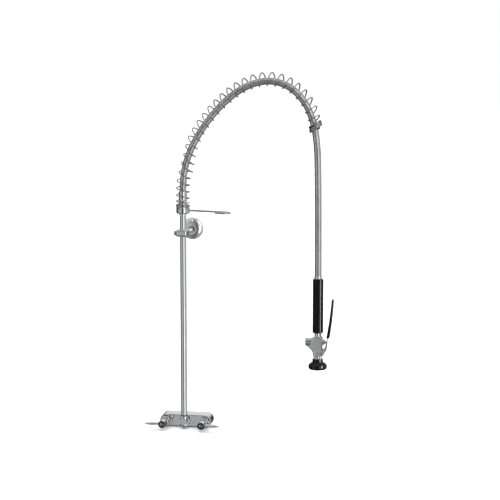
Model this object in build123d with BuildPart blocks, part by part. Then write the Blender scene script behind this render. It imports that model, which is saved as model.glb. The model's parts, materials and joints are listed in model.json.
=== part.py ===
from build123d import *
import math
import os

# Wall-mounted pre-rinse faucet, millimetres, +Z up.
# The origin is on the back face of the faucet body, midway between its two inlets.
# -Y is the front, where the handles are, and the spring arch reaches out along +X.

os.makedirs("parts", exist_ok=True)

# faucet body
INLET_SPREAD = 101.6
BODY_WIDTH = 134.0
BODY_HEIGHT = 32.0
BODY_DEPTH = 38.0
BODY_ROUND = 3.0
INLET_RADIUS = 9.6
INLET_DEPTH = 16.0
SEAT_RADIUS = 5.0
CHAMBER_RADIUS = 10.2
CHAMBER_DEPTH = 16.0
BONNET_THREAD_RADIUS = 12.5
BONNET_THREAD_DEPTH = 5.0
PASSAGE_RADIUS = 4.5
PASSAGE_Y = -30.0
OUTLET_RADIUS = 7.0
OUTLET_DEPTH = 16.0

# valve stems and lever handles, depths measured forward from the back face
BONNET_TOP = 60.0
STEM_RADIUS = 5.0
SPLINE_RADIUS = 4.0
HUB_RADIUS = 9.5
HUB_BACK = 62.5
HUB_FRONT = 88.0
LEVER_REACH = 47.0
LEVER_START_DEPTH = 77.0
LEVER_SWEEP = 6.0

# riser and its elbow
RISER_Y = -52.0
RISER_RADIUS = 8.0
RISER_BORE = 6.4
RISER_BOTTOM = 7.4
RISER_TOP = 529.8
ELBOW_RADIUS = 10.5
ELBOW_TOP = 17.0
ELBOW_BOTTOM = -12.0
ELBOW_BACK = 43.7
BEARING_RADIUS = 9.0
BEARING_FIT = 0.05

# hook, spring holder and hose connection, one above the other on the riser's adapter
FLANGE_TOP = 536.5
SHOULDER_BOTTOM = 533.8
DISC_BOTTOM = 536.7
DISC_TOP = 548.6
DISC_RADIUS = 17.0
HOLDER_TOP = 563.0
BEARING_TOP = 565.6
ADAPTER_TOP = 576.0
HOSE_NUT_BOTTOM = 566.5
HOSE_START = 579.0
SLEEVE_RADIUS = 10.5
COLLAR_TOP = 592.5
HOOK_Z = 544.6
HOOK_ROD_RADIUS = 2.35
HOOK_REACH = 125.0
HOOK_BEND = 14.5
HOOK_RETURN = 20.0
HOOK_DROOP = 1.8

# hose and overhead spring
HOSE_RADIUS = 8.5
SPRING_WIRE = 1.5
SPRING_RADIUS = 16.0
SPRING_START = 552.4
POINTS_PER_TURN = 8
POINT_RADIUS = SPRING_RADIUS / math.cos(math.pi / POINTS_PER_TURN)
ARCH_ROUTE = [
    (0, 579),
    (0, 621),
    (10, 672),
    (32, 721),
    (63, 768),
    (101, 811),
    (141, 844),
    (182, 863),
    (221, 869),
    (259, 860),
    (290, 838),
    (314, 806),
    (329, 768),
    (337, 728),
    (342, 654),
    (343, 382.5),
]
SWING_AFTER = 12
# how far the spring's axis stands outside the hose's, against the length from the spring's foot
SPRING_OFFSETS = [(0, 0), (60, 0), (104, -5.0), (125, -4.0), (147, 0), (170, 3.5), (198, 5.4)]

# wall bracket
CLAMP_Z = 487.0
ROD_RADIUS = 7.5
WALL_Y = 58.0
FLANGE_RADIUS = 28.5
FLANGE_SCREW_CIRCLE = 40.0
FLANGE_SCREW_RADIUS = 2.4

# grip and spray valve, heights measured from the valve's datum
SPRAY_X = 343.0
SPRAY_DATUM = 20.5
GRIP_BOTTOM = 223.0
GRIP_TOP = 359.0
GRIP_RADIUS = 13.2
TUBE_RADIUS = 10.3
BARREL_Z = 200.0
BARREL_RADIUS = 9.0
PIN_X = 9.5
PIN_Z = 172.0
PIN_RADIUS = 2.0
CHEEK_INNER = 9.7
CHEEK_OUTER = 11.8
FACE_Z = 135.0
BUMPER_BOTTOM = 131.0
BUMPER_RADIUS = 23.3

SIDES = {"hot": -1, "cold": 1}


def front(depth):
    """Plane facing forward, this far in front of the back face."""
    return Plane.XZ.offset(depth)


def across(x, y, z):
    """Plane facing +X through a point, with +Y across and +Z up in the sketch."""
    return Plane(origin=(x, y, z), x_dir=(0, 1, 0), z_dir=(1, 0, 0))


def riser_level(z):
    """Plane facing up on the riser's axis."""
    return Plane(origin=(0, RISER_Y, z), x_dir=(1, 0, 0), z_dir=(0, 0, 1))


def spray_level(z):
    """Plane facing up on the spray valve's axis."""
    return Plane(origin=(SPRAY_X, RISER_Y, SPRAY_DATUM + z), x_dir=(1, 0, 0), z_dir=(0, 0, 1))


def spray_side(forward=0.0):
    """Plane facing forward on the spray valve's axis, with x across it and z up."""
    return Plane(origin=(SPRAY_X, RISER_Y - forward, SPRAY_DATUM), x_dir=(1, 0, 0), z_dir=(0, -1, 0))


def barrel_section(x):
    """Plane facing +X on the axis of the spray valve's barrel, this far from the valve's own."""
    return across(SPRAY_X + x, RISER_Y, SPRAY_DATUM + BARREL_Z)


# ---------------------------------------------------------------- faucet body

with BuildPart() as faucet_body:
    with BuildSketch(front(0)):
        SlotOverall(BODY_WIDTH, BODY_HEIGHT)
    extrude(amount=BODY_DEPTH)
    fillet(faucet_body.edges().group_by(Axis.Y)[0], BODY_ROUND)
    fillet(faucet_body.edges().group_by(Axis.Y)[-1], 1.0)
    with BuildSketch(front(0)):
        with Locations((-INLET_SPREAD / 2, 0), (INLET_SPREAD / 2, 0)):
            Circle(INLET_RADIUS)
    extrude(amount=INLET_DEPTH, mode=Mode.SUBTRACT)
    with BuildSketch(front(BODY_DEPTH)):
        with Locations((-INLET_SPREAD / 2, 0), (INLET_SPREAD / 2, 0)):
            Circle(SEAT_RADIUS)
    extrude(amount=-(BODY_DEPTH - INLET_DEPTH), mode=Mode.SUBTRACT)
    with BuildSketch(front(BODY_DEPTH)):
        with Locations((-INLET_SPREAD / 2, 0), (INLET_SPREAD / 2, 0)):
            Circle(CHAMBER_RADIUS)
    extrude(amount=-CHAMBER_DEPTH, mode=Mode.SUBTRACT)
    with BuildSketch(front(BODY_DEPTH)):
        with Locations((-INLET_SPREAD / 2, 0), (INLET_SPREAD / 2, 0)):
            Circle(BONNET_THREAD_RADIUS)
    extrude(amount=-BONNET_THREAD_DEPTH, mode=Mode.SUBTRACT)
    with BuildSketch(across(-INLET_SPREAD / 2, PASSAGE_Y, 0)):
        Circle(PASSAGE_RADIUS)
    extrude(amount=INLET_SPREAD, mode=Mode.SUBTRACT)
    with BuildSketch(front(BODY_DEPTH)):
        Circle(OUTLET_RADIUS)
    extrude(amount=-OUTLET_DEPTH, mode=Mode.SUBTRACT)
faucet_body.part.label = "faucet_body"
export_step(faucet_body.part, "parts/faucet_body.step")

# ---------------------------------------- cartridge, bonnet and handle, each side


def side_plane(side, depth):
    """Plane facing forward on one valve's axis."""
    return Plane(origin=(SIDES[side] * INLET_SPREAD / 2, -depth, 0), x_dir=(1, 0, 0), z_dir=(0, -1, 0))


for side, way in SIDES.items():
    with BuildPart() as cartridge:
        with BuildSketch(side_plane(side, 22.8)):
            Circle(10.0)
        extrude(amount=23.0)
        with BuildSketch(side_plane(side, 25.0)):
            Circle(7.0)
        extrude(amount=18.0, mode=Mode.SUBTRACT)
        with BuildSketch(side_plane(side, 22.8)):
            Circle(4.0)
        extrude(amount=2.2, mode=Mode.SUBTRACT)
        with BuildSketch(side_plane(side, 43.0)):
            Circle(STEM_RADIUS + 0.1)
        extrude(amount=2.8, mode=Mode.SUBTRACT)
        with BuildSketch(across(SIDES[side] * INLET_SPREAD / 2 - 12, PASSAGE_Y - 1.5, 0)):
            Circle(2.4)
        extrude(amount=24, mode=Mode.SUBTRACT)
    cartridge.part.label = f"{side}_cartridge"
    export_step(cartridge.part, f"parts/{side}_cartridge.step")

    with BuildPart() as fixed_disc:
        with BuildSketch(side_plane(side, 25.1)):
            Circle(6.8)
            with PolarLocations(3.9, 2):
                Circle(1.9, mode=Mode.SUBTRACT)
        extrude(amount=3.0)
    fixed_disc.part.label = f"{side}_fixed_disc"
    export_step(fixed_disc.part, f"parts/{side}_fixed_disc.step")

    with BuildPart() as turning_disc:
        with BuildSketch(side_plane(side, 28.15)):
            Circle(6.8)
            with PolarLocations(5.6, 2, start_angle=90):
                Circle(2.6, mode=Mode.SUBTRACT)
        extrude(amount=3.0)
    turning_disc.part.label = f"{side}_turning_disc"
    export_step(turning_disc.part, f"parts/{side}_turning_disc.step")

    with BuildPart() as bonnet:
        with BuildSketch(side_plane(side, BODY_DEPTH - BONNET_THREAD_DEPTH + 0.2)):
            Circle(BONNET_THREAD_RADIUS - 0.1)
        extrude(amount=BONNET_THREAD_DEPTH)
        with BuildSketch(side_plane(side, BODY_DEPTH)):
            Circle(15.5)
        extrude(amount=4.0)
        fillet(bonnet.faces().sort_by(Axis.Y)[0].edges(), 1.2)
        with BuildSketch(side_plane(side, BODY_DEPTH + 4)):
            RegularPolygon(13.8, 6)
        extrude(amount=8.0)
        chamfer(bonnet.faces().sort_by(Axis.Y)[0].edges(), 1.2)
        with BuildSketch(side_plane(side, BODY_DEPTH + 12)):
            Circle(10.4)
        extrude(amount=BONNET_TOP - BODY_DEPTH - 12)
        fillet(bonnet.faces().sort_by(Axis.Y)[0].edges(), 2.0)
        with BuildSketch(side_plane(side, BODY_DEPTH - BONNET_THREAD_DEPTH)):
            Circle(CHAMBER_RADIUS)
        extrude(amount=46.2 - BODY_DEPTH + BONNET_THREAD_DEPTH, mode=Mode.SUBTRACT)
        with BuildSketch(side_plane(side, 46.2)):
            Circle(STEM_RADIUS + 0.1)
        extrude(amount=BONNET_TOP - 46.2, mode=Mode.SUBTRACT)
        with BuildSketch(side_plane(side, 49.0)):
            Circle(7.2)
        extrude(amount=5.4, mode=Mode.SUBTRACT)
    bonnet.part.label = f"{side}_bonnet"
    export_step(bonnet.part, f"parts/{side}_bonnet.step")

    with BuildPart() as packing:
        with BuildSketch(side_plane(side, 49.2)):
            Circle(7.1)
            Circle(STEM_RADIUS + BEARING_FIT, mode=Mode.SUBTRACT)
        extrude(amount=5.0)
    packing.part.label = f"{side}_packing"
    export_step(packing.part, f"parts/{side}_packing.step")

    with BuildPart() as stem:
        with BuildSketch(side_plane(side, 31.2)):
            Circle(6.7)
        extrude(amount=3.0)
        with BuildSketch(side_plane(side, 34.2)):
            Circle(STEM_RADIUS)
        extrude(amount=28.0)
        with BuildSketch(side_plane(side, 62.2)):
            Circle(SPLINE_RADIUS)
        extrude(amount=17.8)
        with BuildSketch(side_plane(side, 80.0)):
            Circle(1.7)
        extrude(amount=-12.0, mode=Mode.SUBTRACT)
    stem.part.label = f"{side}_stem"
    export_step(stem.part, f"parts/{side}_stem.step")

    with BuildPart() as handle:
        with BuildSketch(side_plane(side, HUB_BACK)):
            Circle(HUB_RADIUS - 0.8)
        with BuildSketch(side_plane(side, 70.0)):
            Circle(HUB_RADIUS)
        loft()
        with BuildSketch(side_plane(side, 70.0)):
            Circle(HUB_RADIUS)
        extrude(amount=HUB_FRONT - 70.0)
        fillet(handle.faces().sort_by(Axis.Y)[0].edges(), 1.0)
        for reach, thick, deep in (
            (3.0, 3.4, 5.6),
            (14.0, 2.9, 5.2),
            (28.0, 3.5, 6.2),
            (40.0, 2.4, 4.6),
            (LEVER_REACH, 0.8, 1.4),
        ):
            lever_depth = LEVER_START_DEPTH + LEVER_SWEEP * reach / LEVER_REACH
            section = Plane(
                origin=(way * (INLET_SPREAD / 2 + reach), -lever_depth, 0),
                x_dir=(0, 1, 0),
                z_dir=(1, 0, 0),
            )
            with BuildSketch(section):
                Ellipse(deep, thick)
        loft()
        with BuildSketch(side_plane(side, HUB_BACK)):
            Circle(SPLINE_RADIUS + 0.05)
        extrude(amount=80.3 - HUB_BACK, mode=Mode.SUBTRACT)
        with BuildSketch(side_plane(side, 80.0)):
            Circle(2.1)
        extrude(amount=HUB_FRONT - 80.0, mode=Mode.SUBTRACT)
        with BuildSketch(side_plane(side, HUB_FRONT)):
            Circle(7.6)
        extrude(amount=-2.4, mode=Mode.SUBTRACT)
    handle.part.label = f"{side}_handle"
    export_step(handle.part, f"parts/{side}_handle.step")

    with BuildPart() as index_ring:
        with BuildSketch(side_plane(side, HUB_FRONT - 2.3)):
            Circle(7.4)
            Circle(4.1, mode=Mode.SUBTRACT)
        extrude(amount=1.8)
        fillet(index_ring.faces().sort_by(Axis.Y)[0].edges(), 0.4)
    index_ring.part.label = f"{side}_index_ring"
    export_step(index_ring.part, f"parts/{side}_index_ring.step")

    with BuildPart() as handle_screw:
        with BuildSketch(side_plane(side, 69.0)):
            Circle(1.6)
        extrude(amount=HUB_FRONT - 2.3 - 69.0)
        with BuildSketch(side_plane(side, HUB_FRONT - 2.3)):
            Circle(3.9)
        extrude(amount=2.6)
        fillet(handle_screw.faces().sort_by(Axis.Y)[0].edges(), 0.9)
        with BuildSketch(side_plane(side, HUB_FRONT + 0.3)):
            Rectangle(6.4, 1.0)
        extrude(amount=-1.0, mode=Mode.SUBTRACT)
    handle_screw.part.label = f"{side}_handle_screw"
    export_step(handle_screw.part, f"parts/{side}_handle_screw.step")

# ---------------------------------------------------------------- elbow and riser

with BuildPart() as outlet_nipple:
    with BuildSketch(front(24.0)):
        Circle(OUTLET_RADIUS - 0.1)
        Circle(4.6, mode=Mode.SUBTRACT)
    extrude(amount=24.0)
outlet_nipple.part.label = "outlet_nipple"
export_step(outlet_nipple.part, "parts/outlet_nipple.step")

with BuildPart() as outlet_nut:
    with BuildSketch(front(BODY_DEPTH)):
        RegularPolygon(13.4, 6)
    extrude(amount=5.5)
    chamfer(outlet_nut.faces().sort_by(Axis.Y)[0].edges(), 0.9)
    with BuildSketch(front(BODY_DEPTH)):
        Circle(OUTLET_RADIUS)
    extrude(amount=5.5, mode=Mode.SUBTRACT)
outlet_nut.part.label = "outlet_nut"
export_step(outlet_nut.part, "parts/outlet_nut.step")

with BuildPart() as elbow:
    with BuildSketch(riser_level(ELBOW_BOTTOM)):
        Circle(ELBOW_RADIUS)
    extrude(amount=ELBOW_TOP - ELBOW_BOTTOM)
    fillet(elbow.faces().sort_by(Axis.Z)[0].edges(), 5.0)
    with BuildSketch(riser_level(ELBOW_TOP - 7)):
        Circle(ELBOW_RADIUS + 1)
    extrude(amount=7.0)
    fillet(elbow.faces().sort_by(Axis.Z)[-1].edges(), 0.8)
    with BuildSketch(front(BODY_DEPTH)):
        Rectangle(30, 40)
    extrude(amount=ELBOW_BACK - BODY_DEPTH, mode=Mode.SUBTRACT)
    with BuildSketch(front(ELBOW_BACK)):
        Circle(9.5)
    extrude(amount=-RISER_Y - ELBOW_BACK)
    with BuildSketch(front(-RISER_Y)):
        with Locations((0, 3)):
            RectangleRounded(16, 13, 2.5)
    extrude(amount=ELBOW_RADIUS + 1)
    with BuildSketch(riser_level(ELBOW_TOP)):
        Circle(RISER_RADIUS + 0.05)
    extrude(amount=-(ELBOW_TOP - RISER_BOTTOM + 0.2), mode=Mode.SUBTRACT)
    with BuildSketch(riser_level(ELBOW_TOP)):
        Circle(5.5)
    extrude(amount=-(ELBOW_TOP + 5.5), mode=Mode.SUBTRACT)
    with BuildSketch(front(ELBOW_BACK)):
        Circle(5.5)
    extrude(amount=-RISER_Y - ELBOW_BACK, mode=Mode.SUBTRACT)
    with BuildSketch(front(ELBOW_BACK)):
        Circle(OUTLET_RADIUS)
    extrude(amount=4.5, mode=Mode.SUBTRACT)
elbow.part.label = "elbow"
export_step(elbow.part, "parts/elbow.step")

with BuildPart() as riser:
    with BuildSketch(riser_level(RISER_BOTTOM)):
        Circle(RISER_RADIUS)
        Circle(RISER_BORE, mode=Mode.SUBTRACT)
    extrude(amount=RISER_TOP - RISER_BOTTOM)
riser.part.label = "riser"
export_step(riser.part, "parts/riser.step")

with BuildPart() as riser_adapter:
    for bottom, top, radius in (
        (RISER_TOP - 16, RISER_TOP, RISER_BORE - 0.05),
        (RISER_TOP, SHOULDER_BOTTOM, 7.2),
        (SHOULDER_BOTTOM, FLANGE_TOP, 9.6),
        (FLANGE_TOP, BEARING_TOP, BEARING_RADIUS),
        (BEARING_TOP, ADAPTER_TOP, 7.0),
    ):
        with BuildSketch(riser_level(bottom)):
            Circle(radius)
        extrude(amount=top - bottom)
    with BuildSketch(riser_level(HOLDER_TOP + 0.3)):
        Circle(BEARING_RADIUS)
        Circle(8.0, mode=Mode.SUBTRACT)
    extrude(amount=1.5, mode=Mode.SUBTRACT)
    with BuildSketch(riser_level(RISER_TOP - 16)):
        Circle(4.5)
    extrude(amount=ADAPTER_TOP - RISER_TOP + 16, mode=Mode.SUBTRACT)
riser_adapter.part.label = "riser_adapter"
export_step(riser_adapter.part, "parts/riser_adapter.step")

with BuildPart() as retaining_ring:
    with BuildSketch(riser_level(HOLDER_TOP + 0.4)):
        Circle(11.0)
        Circle(8.1, mode=Mode.SUBTRACT)
        with Locations((0, -9.5)):
            Rectangle(3.0, 5.0, mode=Mode.SUBTRACT)
    extrude(amount=1.2)
retaining_ring.part.label = "retaining_ring"
export_step(retaining_ring.part, "parts/retaining_ring.step")

# ---------------------------------------------------------------- wall bracket

with BuildPart() as bracket_clamp:
    with BuildSketch(riser_level(CLAMP_Z - 8.5)):
        with Locations((-3, 2)):
            RectangleRounded(30, 28, 7)
    extrude(amount=17.0)
    fillet(bracket_clamp.faces().sort_by(Axis.Z)[0].edges(), 5.0)
    fillet(bracket_clamp.faces().sort_by(Axis.Z)[-1].edges(), 5.0)
    with BuildSketch(riser_level(CLAMP_Z - 8.5)):
        Circle(RISER_RADIUS + 0.05)
    extrude(amount=17.0, mode=Mode.SUBTRACT)
    with BuildSketch(Plane.XZ.offset(-RISER_Y - 16)):
        with Locations((0, CLAMP_Z)):
            Circle(ROD_RADIUS + 0.05)
    extrude(amount=6.0, mode=Mode.SUBTRACT)
    with BuildSketch(across(-18.0, RISER_Y, CLAMP_Z)):
        Circle(3.05)
    extrude(amount=12.0, mode=Mode.SUBTRACT)
bracket_clamp.part.label = "bracket_clamp"
export_step(bracket_clamp.part, "parts/bracket_clamp.step")

with BuildPart() as clamp_screw:
    with BuildSketch(across(-18.2, RISER_Y, CLAMP_Z)):
        Circle(3.0)
    extrude(amount=9.9)
    with BuildSketch(across(-18.2, RISER_Y, CLAMP_Z)):
        Circle(6.2)
    extrude(amount=-4.8)
    fillet(clamp_screw.faces().sort_by(Axis.X)[0].edges(), 2.0)
    with BuildSketch(across(-23.0, RISER_Y, CLAMP_Z)):
        RegularPolygon(2.6, 6)
    extrude(amount=2.5, mode=Mode.SUBTRACT)
clamp_screw.part.label = "clamp_screw"
export_step(clamp_screw.part, "parts/clamp_screw.step")

with BuildPart() as bracket_rod:
    with BuildSketch(Plane.XZ.offset(-RISER_Y - 10.2)):
        with Locations((0, CLAMP_Z)):
            Circle(ROD_RADIUS)
            Circle(5.5, mode=Mode.SUBTRACT)
    extrude(amount=-(WALL_Y - RISER_Y - 14.2))
bracket_rod.part.label = "bracket_rod"
export_step(bracket_rod.part, "parts/bracket_rod.step")

with BuildPart() as wall_flange:
    with BuildSketch(Plane.YZ):
        with BuildLine():
            Polyline(
                (WALL_Y - 15, CLAMP_Z + 11.5),
                (WALL_Y - 18, CLAMP_Z + 10.5),
                (WALL_Y - 18, CLAMP_Z),
                (WALL_Y, CLAMP_Z),
                (WALL_Y, CLAMP_Z + FLANGE_RADIUS),
                (WALL_Y - 1.8, CLAMP_Z + FLANGE_RADIUS),
            )
            ThreePointArc(
                (WALL_Y - 1.8, CLAMP_Z + FLANGE_RADIUS),
                (WALL_Y - 7.2, CLAMP_Z + 21.0),
                (WALL_Y - 9.0, CLAMP_Z + 11.5),
            )
            Line((WALL_Y - 9.0, CLAMP_Z + 11.5), (WALL_Y - 15, CLAMP_Z + 11.5))
        make_face()
    revolve(axis=Axis((0, 0, CLAMP_Z), (0, 1, 0)))
    with BuildSketch(Plane.XZ.offset(-WALL_Y)):
        with Locations((0, CLAMP_Z)):
            with PolarLocations(FLANGE_SCREW_CIRCLE / 2, 3, start_angle=90):
                Circle(FLANGE_SCREW_RADIUS)
    extrude(amount=20.0, mode=Mode.SUBTRACT)
    with BuildSketch(Plane.XZ.offset(-(WALL_Y - 3))):
        with Locations((0, CLAMP_Z)):
            Circle(ROD_RADIUS + 0.05)
    extrude(amount=20.0, mode=Mode.SUBTRACT)
    with BuildSketch(Plane(origin=(0, WALL_Y - 13.5, CLAMP_Z - 6), x_dir=(1, 0, 0), z_dir=(0, 0, -1))):
        Circle(2.05)
    extrude(amount=8.0, mode=Mode.SUBTRACT)
wall_flange.part.label = "wall_flange"
export_step(wall_flange.part, "parts/wall_flange.step")

with BuildPart() as flange_set_screw:
    with BuildSketch(Plane(origin=(0, WALL_Y - 13.5, CLAMP_Z - 7.6), x_dir=(1, 0, 0), z_dir=(0, 0, -1))):
        Circle(2.0)
    extrude(amount=4.2)
    with BuildSketch(Plane(origin=(0, WALL_Y - 13.5, CLAMP_Z - 11.8), x_dir=(1, 0, 0), z_dir=(0, 0, 1))):
        RegularPolygon(1.2, 6)
    extrude(amount=2.0, mode=Mode.SUBTRACT)
flange_set_screw.part.label = "flange_set_screw"
export_step(flange_set_screw.part, "parts/flange_set_screw.step")

# ---------------------------------------------------------------- hook

with BuildPart() as hook_collar:
    with BuildSketch(riser_level(DISC_BOTTOM)):
        Circle(DISC_RADIUS)
    extrude(amount=DISC_TOP - DISC_BOTTOM)
    fillet(hook_collar.faces().sort_by(Axis.Z)[-1].edges(), 1.0)
    fillet(hook_collar.faces().sort_by(Axis.Z)[0].edges(), 4.0)
    with BuildSketch(riser_level(DISC_BOTTOM)):
        Circle(BEARING_RADIUS + BEARING_FIT)
    extrude(amount=DISC_TOP - DISC_BOTTOM, mode=Mode.SUBTRACT)
    with BuildSketch(across(0, RISER_Y, HOOK_Z)):
        Circle(HOOK_ROD_RADIUS + 0.15)
    extrude(amount=DISC_RADIUS + 1, mode=Mode.SUBTRACT)
    with BuildSketch(across(0, RISER_Y, HOOK_Z)):
        Circle(2.05)
    extrude(amount=-(DISC_RADIUS + 1), mode=Mode.SUBTRACT)
hook_collar.part.label = "hook_collar"
export_step(hook_collar.part, "parts/hook_collar.step")

droop = math.radians(HOOK_DROOP)
hook_plane = Plane(
    origin=(10.0, RISER_Y, HOOK_Z),
    x_dir=(1, 0, 0),
    z_dir=(0, 0, 1),
)
arm_plane = Plane(
    origin=(DISC_RADIUS + 6, RISER_Y, HOOK_Z),
    x_dir=(math.cos(droop), 0, -math.sin(droop)),
    z_dir=(math.sin(droop), 0, math.cos(droop)),
)
hook_run = HOOK_REACH - HOOK_BEND - HOOK_ROD_RADIUS - DISC_RADIUS - 6
with BuildPart() as hook_arm:
    with BuildLine() as hook_path:
        root_end = arm_plane.from_local_coords(Vector(4, 0, 0))
        far_side = arm_plane.from_local_coords(Vector(hook_run, 0, 0))
        bend_middle = arm_plane.from_local_coords(Vector(hook_run + HOOK_BEND, -HOOK_BEND, 0))
        near_side = arm_plane.from_local_coords(Vector(hook_run, -2 * HOOK_BEND, 0))
        tip = arm_plane.from_local_coords(Vector(hook_run - HOOK_RETURN, -2 * HOOK_BEND, 0))
        rod_foot = hook_plane.from_local_coords(Vector(0, 0, 0))
        rod_bend = hook_plane.from_local_coords(Vector(DISC_RADIUS - 8, 0, 0))
        Line(rod_foot, rod_bend)
        TangentArc(rod_bend, root_end, tangent=(1, 0, 0))
        Line(root_end, far_side)
        ThreePointArc(far_side, bend_middle, near_side)
        Line(near_side, tip)
    with BuildSketch(across(10.0, RISER_Y, HOOK_Z)):
        Circle(HOOK_ROD_RADIUS)
    sweep()
hook_arm.part.label = "hook_arm"
export_step(hook_arm.part, "parts/hook_arm.step")

with BuildPart() as hook_set_screw:
    with BuildSketch(across(-9.3, RISER_Y, HOOK_Z)):
        Circle(2.0)
    extrude(amount=-7.5)
    with BuildSketch(across(-16.8, RISER_Y, HOOK_Z)):
        RegularPolygon(1.2, 6)
    extrude(amount=2.5, mode=Mode.SUBTRACT)
hook_set_screw.part.label = "hook_set_screw"
export_step(hook_set_screw.part, "parts/hook_set_screw.step")

# ---------------------------------------------------------------- spring holder and hose nut

with BuildPart() as spring_holder:
    with BuildSketch(riser_level(DISC_TOP + 0.3)):
        Circle(DISC_RADIUS)
    extrude(amount=SPRING_START - SPRING_WIRE - DISC_TOP - 0.5)
    with BuildSketch(riser_level(DISC_TOP + 0.3)):
        Circle(SLEEVE_RADIUS)
    extrude(amount=HOLDER_TOP - DISC_TOP - 0.3)
    chamfer(spring_holder.faces().sort_by(Axis.Z)[-1].edges(), 0.5)
    with BuildSketch(riser_level(DISC_TOP)):
        Circle(BEARING_RADIUS + BEARING_FIT)
    extrude(amount=HOLDER_TOP - DISC_TOP, mode=Mode.SUBTRACT)
spring_holder.part.label = "spring_holder"
export_step(spring_holder.part, "parts/spring_holder.step")

with BuildPart() as hose_nut:
    with BuildSketch(riser_level(HOSE_NUT_BOTTOM)):
        RegularPolygon(11.2, 6)
    extrude(amount=6.0)
    with BuildSketch(riser_level(HOSE_NUT_BOTTOM + 6)):
        Circle(SLEEVE_RADIUS)
    extrude(amount=10.0)
    with BuildSketch(riser_level(HOSE_NUT_BOTTOM)):
        Circle(7.1)
    extrude(amount=12.0, mode=Mode.SUBTRACT)
    with BuildSketch(riser_level(HOSE_NUT_BOTTOM + 12)):
        Circle(HOSE_RADIUS + 0.05)
    extrude(amount=4.0, mode=Mode.SUBTRACT)
hose_nut.part.label = "hose_nut"
export_step(hose_nut.part, "parts/hose_nut.step")

with BuildPart() as hose_washer:
    with BuildSketch(riser_level(ADAPTER_TOP + 0.2)):
        Circle(6.9)
        Circle(4.0, mode=Mode.SUBTRACT)
    extrude(amount=1.8)
hose_washer.part.label = "hose_washer"
export_step(hose_washer.part, "parts/hose_washer.step")

with BuildPart() as hose_collar:
    with BuildSketch(riser_level(HOSE_NUT_BOTTOM + 16.2)):
        Circle(SLEEVE_RADIUS)
    extrude(amount=COLLAR_TOP - HOSE_NUT_BOTTOM - 16.2)
    fillet(hose_collar.faces().sort_by(Axis.Z)[-1].edges(), 0.8)
    with BuildSketch(riser_level(HOSE_NUT_BOTTOM + 16)):
        Circle(HOSE_RADIUS + 0.05)
    extrude(amount=COLLAR_TOP - HOSE_NUT_BOTTOM, mode=Mode.SUBTRACT)
hose_collar.part.label = "hose_collar"
export_step(hose_collar.part, "parts/hose_collar.step")

# ---------------------------------------------------------------- hose


def corner_radii(points, share=0.45):
    """The largest tangent arc that each corner's two runs allow."""
    radii = []
    for before, corner, after in zip(points, points[1:], points[2:]):
        incoming = corner - before
        outgoing = after - corner
        turn = math.radians(incoming.get_angle(outgoing))
        shorter = min(incoming.length, outgoing.length)
        radii.append(share * shorter / math.tan(turn / 2))
    return radii


route = [Vector(x, RISER_Y, z) for x, z in ARCH_ROUTE]
hose_radii = corner_radii(route)
print("hose radii", [round(radius) for radius in hose_radii])
swing_point = (route[SWING_AFTER] + route[SWING_AFTER + 1]) / 2
swing_way = (route[SWING_AFTER + 1] - route[SWING_AFTER]).normalized()
HOSE_GAP = HOSE_RADIUS + 0.4
hose_gap_point = swing_point - swing_way * HOSE_GAP

with BuildPart() as hose_upper:
    with BuildLine() as upper_path:
        FilletPolyline(*route[: SWING_AFTER + 1], swing_point, radius=hose_radii[:SWING_AFTER])
    with BuildSketch(riser_level(HOSE_START)):
        Circle(HOSE_RADIUS)
    sweep()
    with BuildSketch(Plane(origin=hose_gap_point, z_dir=swing_way)):
        Circle(HOSE_RADIUS + 2)
    extrude(amount=HOSE_GAP + 2, mode=Mode.SUBTRACT)
hose_upper.part.label = "hose_upper"
export_step(hose_upper.part, "parts/hose_upper.step")

with BuildPart() as hose_lower:
    with BuildLine() as lower_path:
        FilletPolyline(swing_point, *route[SWING_AFTER + 1 :], radius=hose_radii[SWING_AFTER:])
    with BuildSketch(Plane(origin=swing_point, z_dir=swing_way)):
        Circle(HOSE_RADIUS)
    sweep()
    with Locations(swing_point):
        Sphere(HOSE_RADIUS)
hose_lower.part.label = "hose_lower"
export_step(hose_lower.part, "parts/hose_lower.step")

upper_wire = upper_path.wires()[0]
lower_wire = lower_path.wires()[0]
section_area = math.pi * HOSE_RADIUS**2
print("hose length", round(upper_wire.length + lower_wire.length, 1), "swing point", swing_point)
print("upper volume", round(hose_upper.part.volume), round(section_area * (upper_wire.length - HOSE_GAP)))
print("lower volume", round(hose_lower.part.volume), round(section_area * lower_wire.length))

# ---------------------------------------------------------------- overhead spring

SPRING_FOOT = HOSE_START - SPRING_START
SPRING_LENGTH = SPRING_FOOT + upper_wire.length - 2.5
end_offsets = [(SPRING_LENGTH - 34, 5.4), (SPRING_LENGTH - 10, 0), (SPRING_LENGTH + 10, 0)]
offsets = SPRING_OFFSETS + end_offsets


def spring_offset(length):
    """How far the spring's axis stands outside the hose's, at this length from its foot."""
    for (start, low), (end, high) in zip(offsets, offsets[1:]):
        if length <= end:
            return low + (high - low) * (length - start) / (end - start)
    return 0.0


def spring_axis(length):
    """Centre, outward way and sideways way of the spring at this length from its foot."""
    if length < SPRING_FOOT:
        centre = Vector(0, RISER_Y, SPRING_START + length)
        along = Vector(0, 0, 1)
    else:
        share = min((length - SPRING_FOOT) / upper_wire.length, 1.0)
        centre = upper_wire @ share
        along = upper_wire % share
    outward = Vector(-along.Z, 0, along.X)
    sideways = along.cross(outward)
    return centre + outward * spring_offset(length), outward, sideways


def spring_pitches():
    """Length of each turn: closed at both ends and opening between them."""
    closed = [3.4, 3.4, 3.4]
    opening = [9.0, 15.5, 17.0, 18.0, 19.5]
    used = sum(closed[:2]) + sum(closed) + sum(opening) + 12.0
    count = round((SPRING_LENGTH - used) / 21.5)
    open_turn = (SPRING_LENGTH - used) / count
    return closed[:2] + opening + [open_turn] * count + [12.0] + closed


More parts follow.
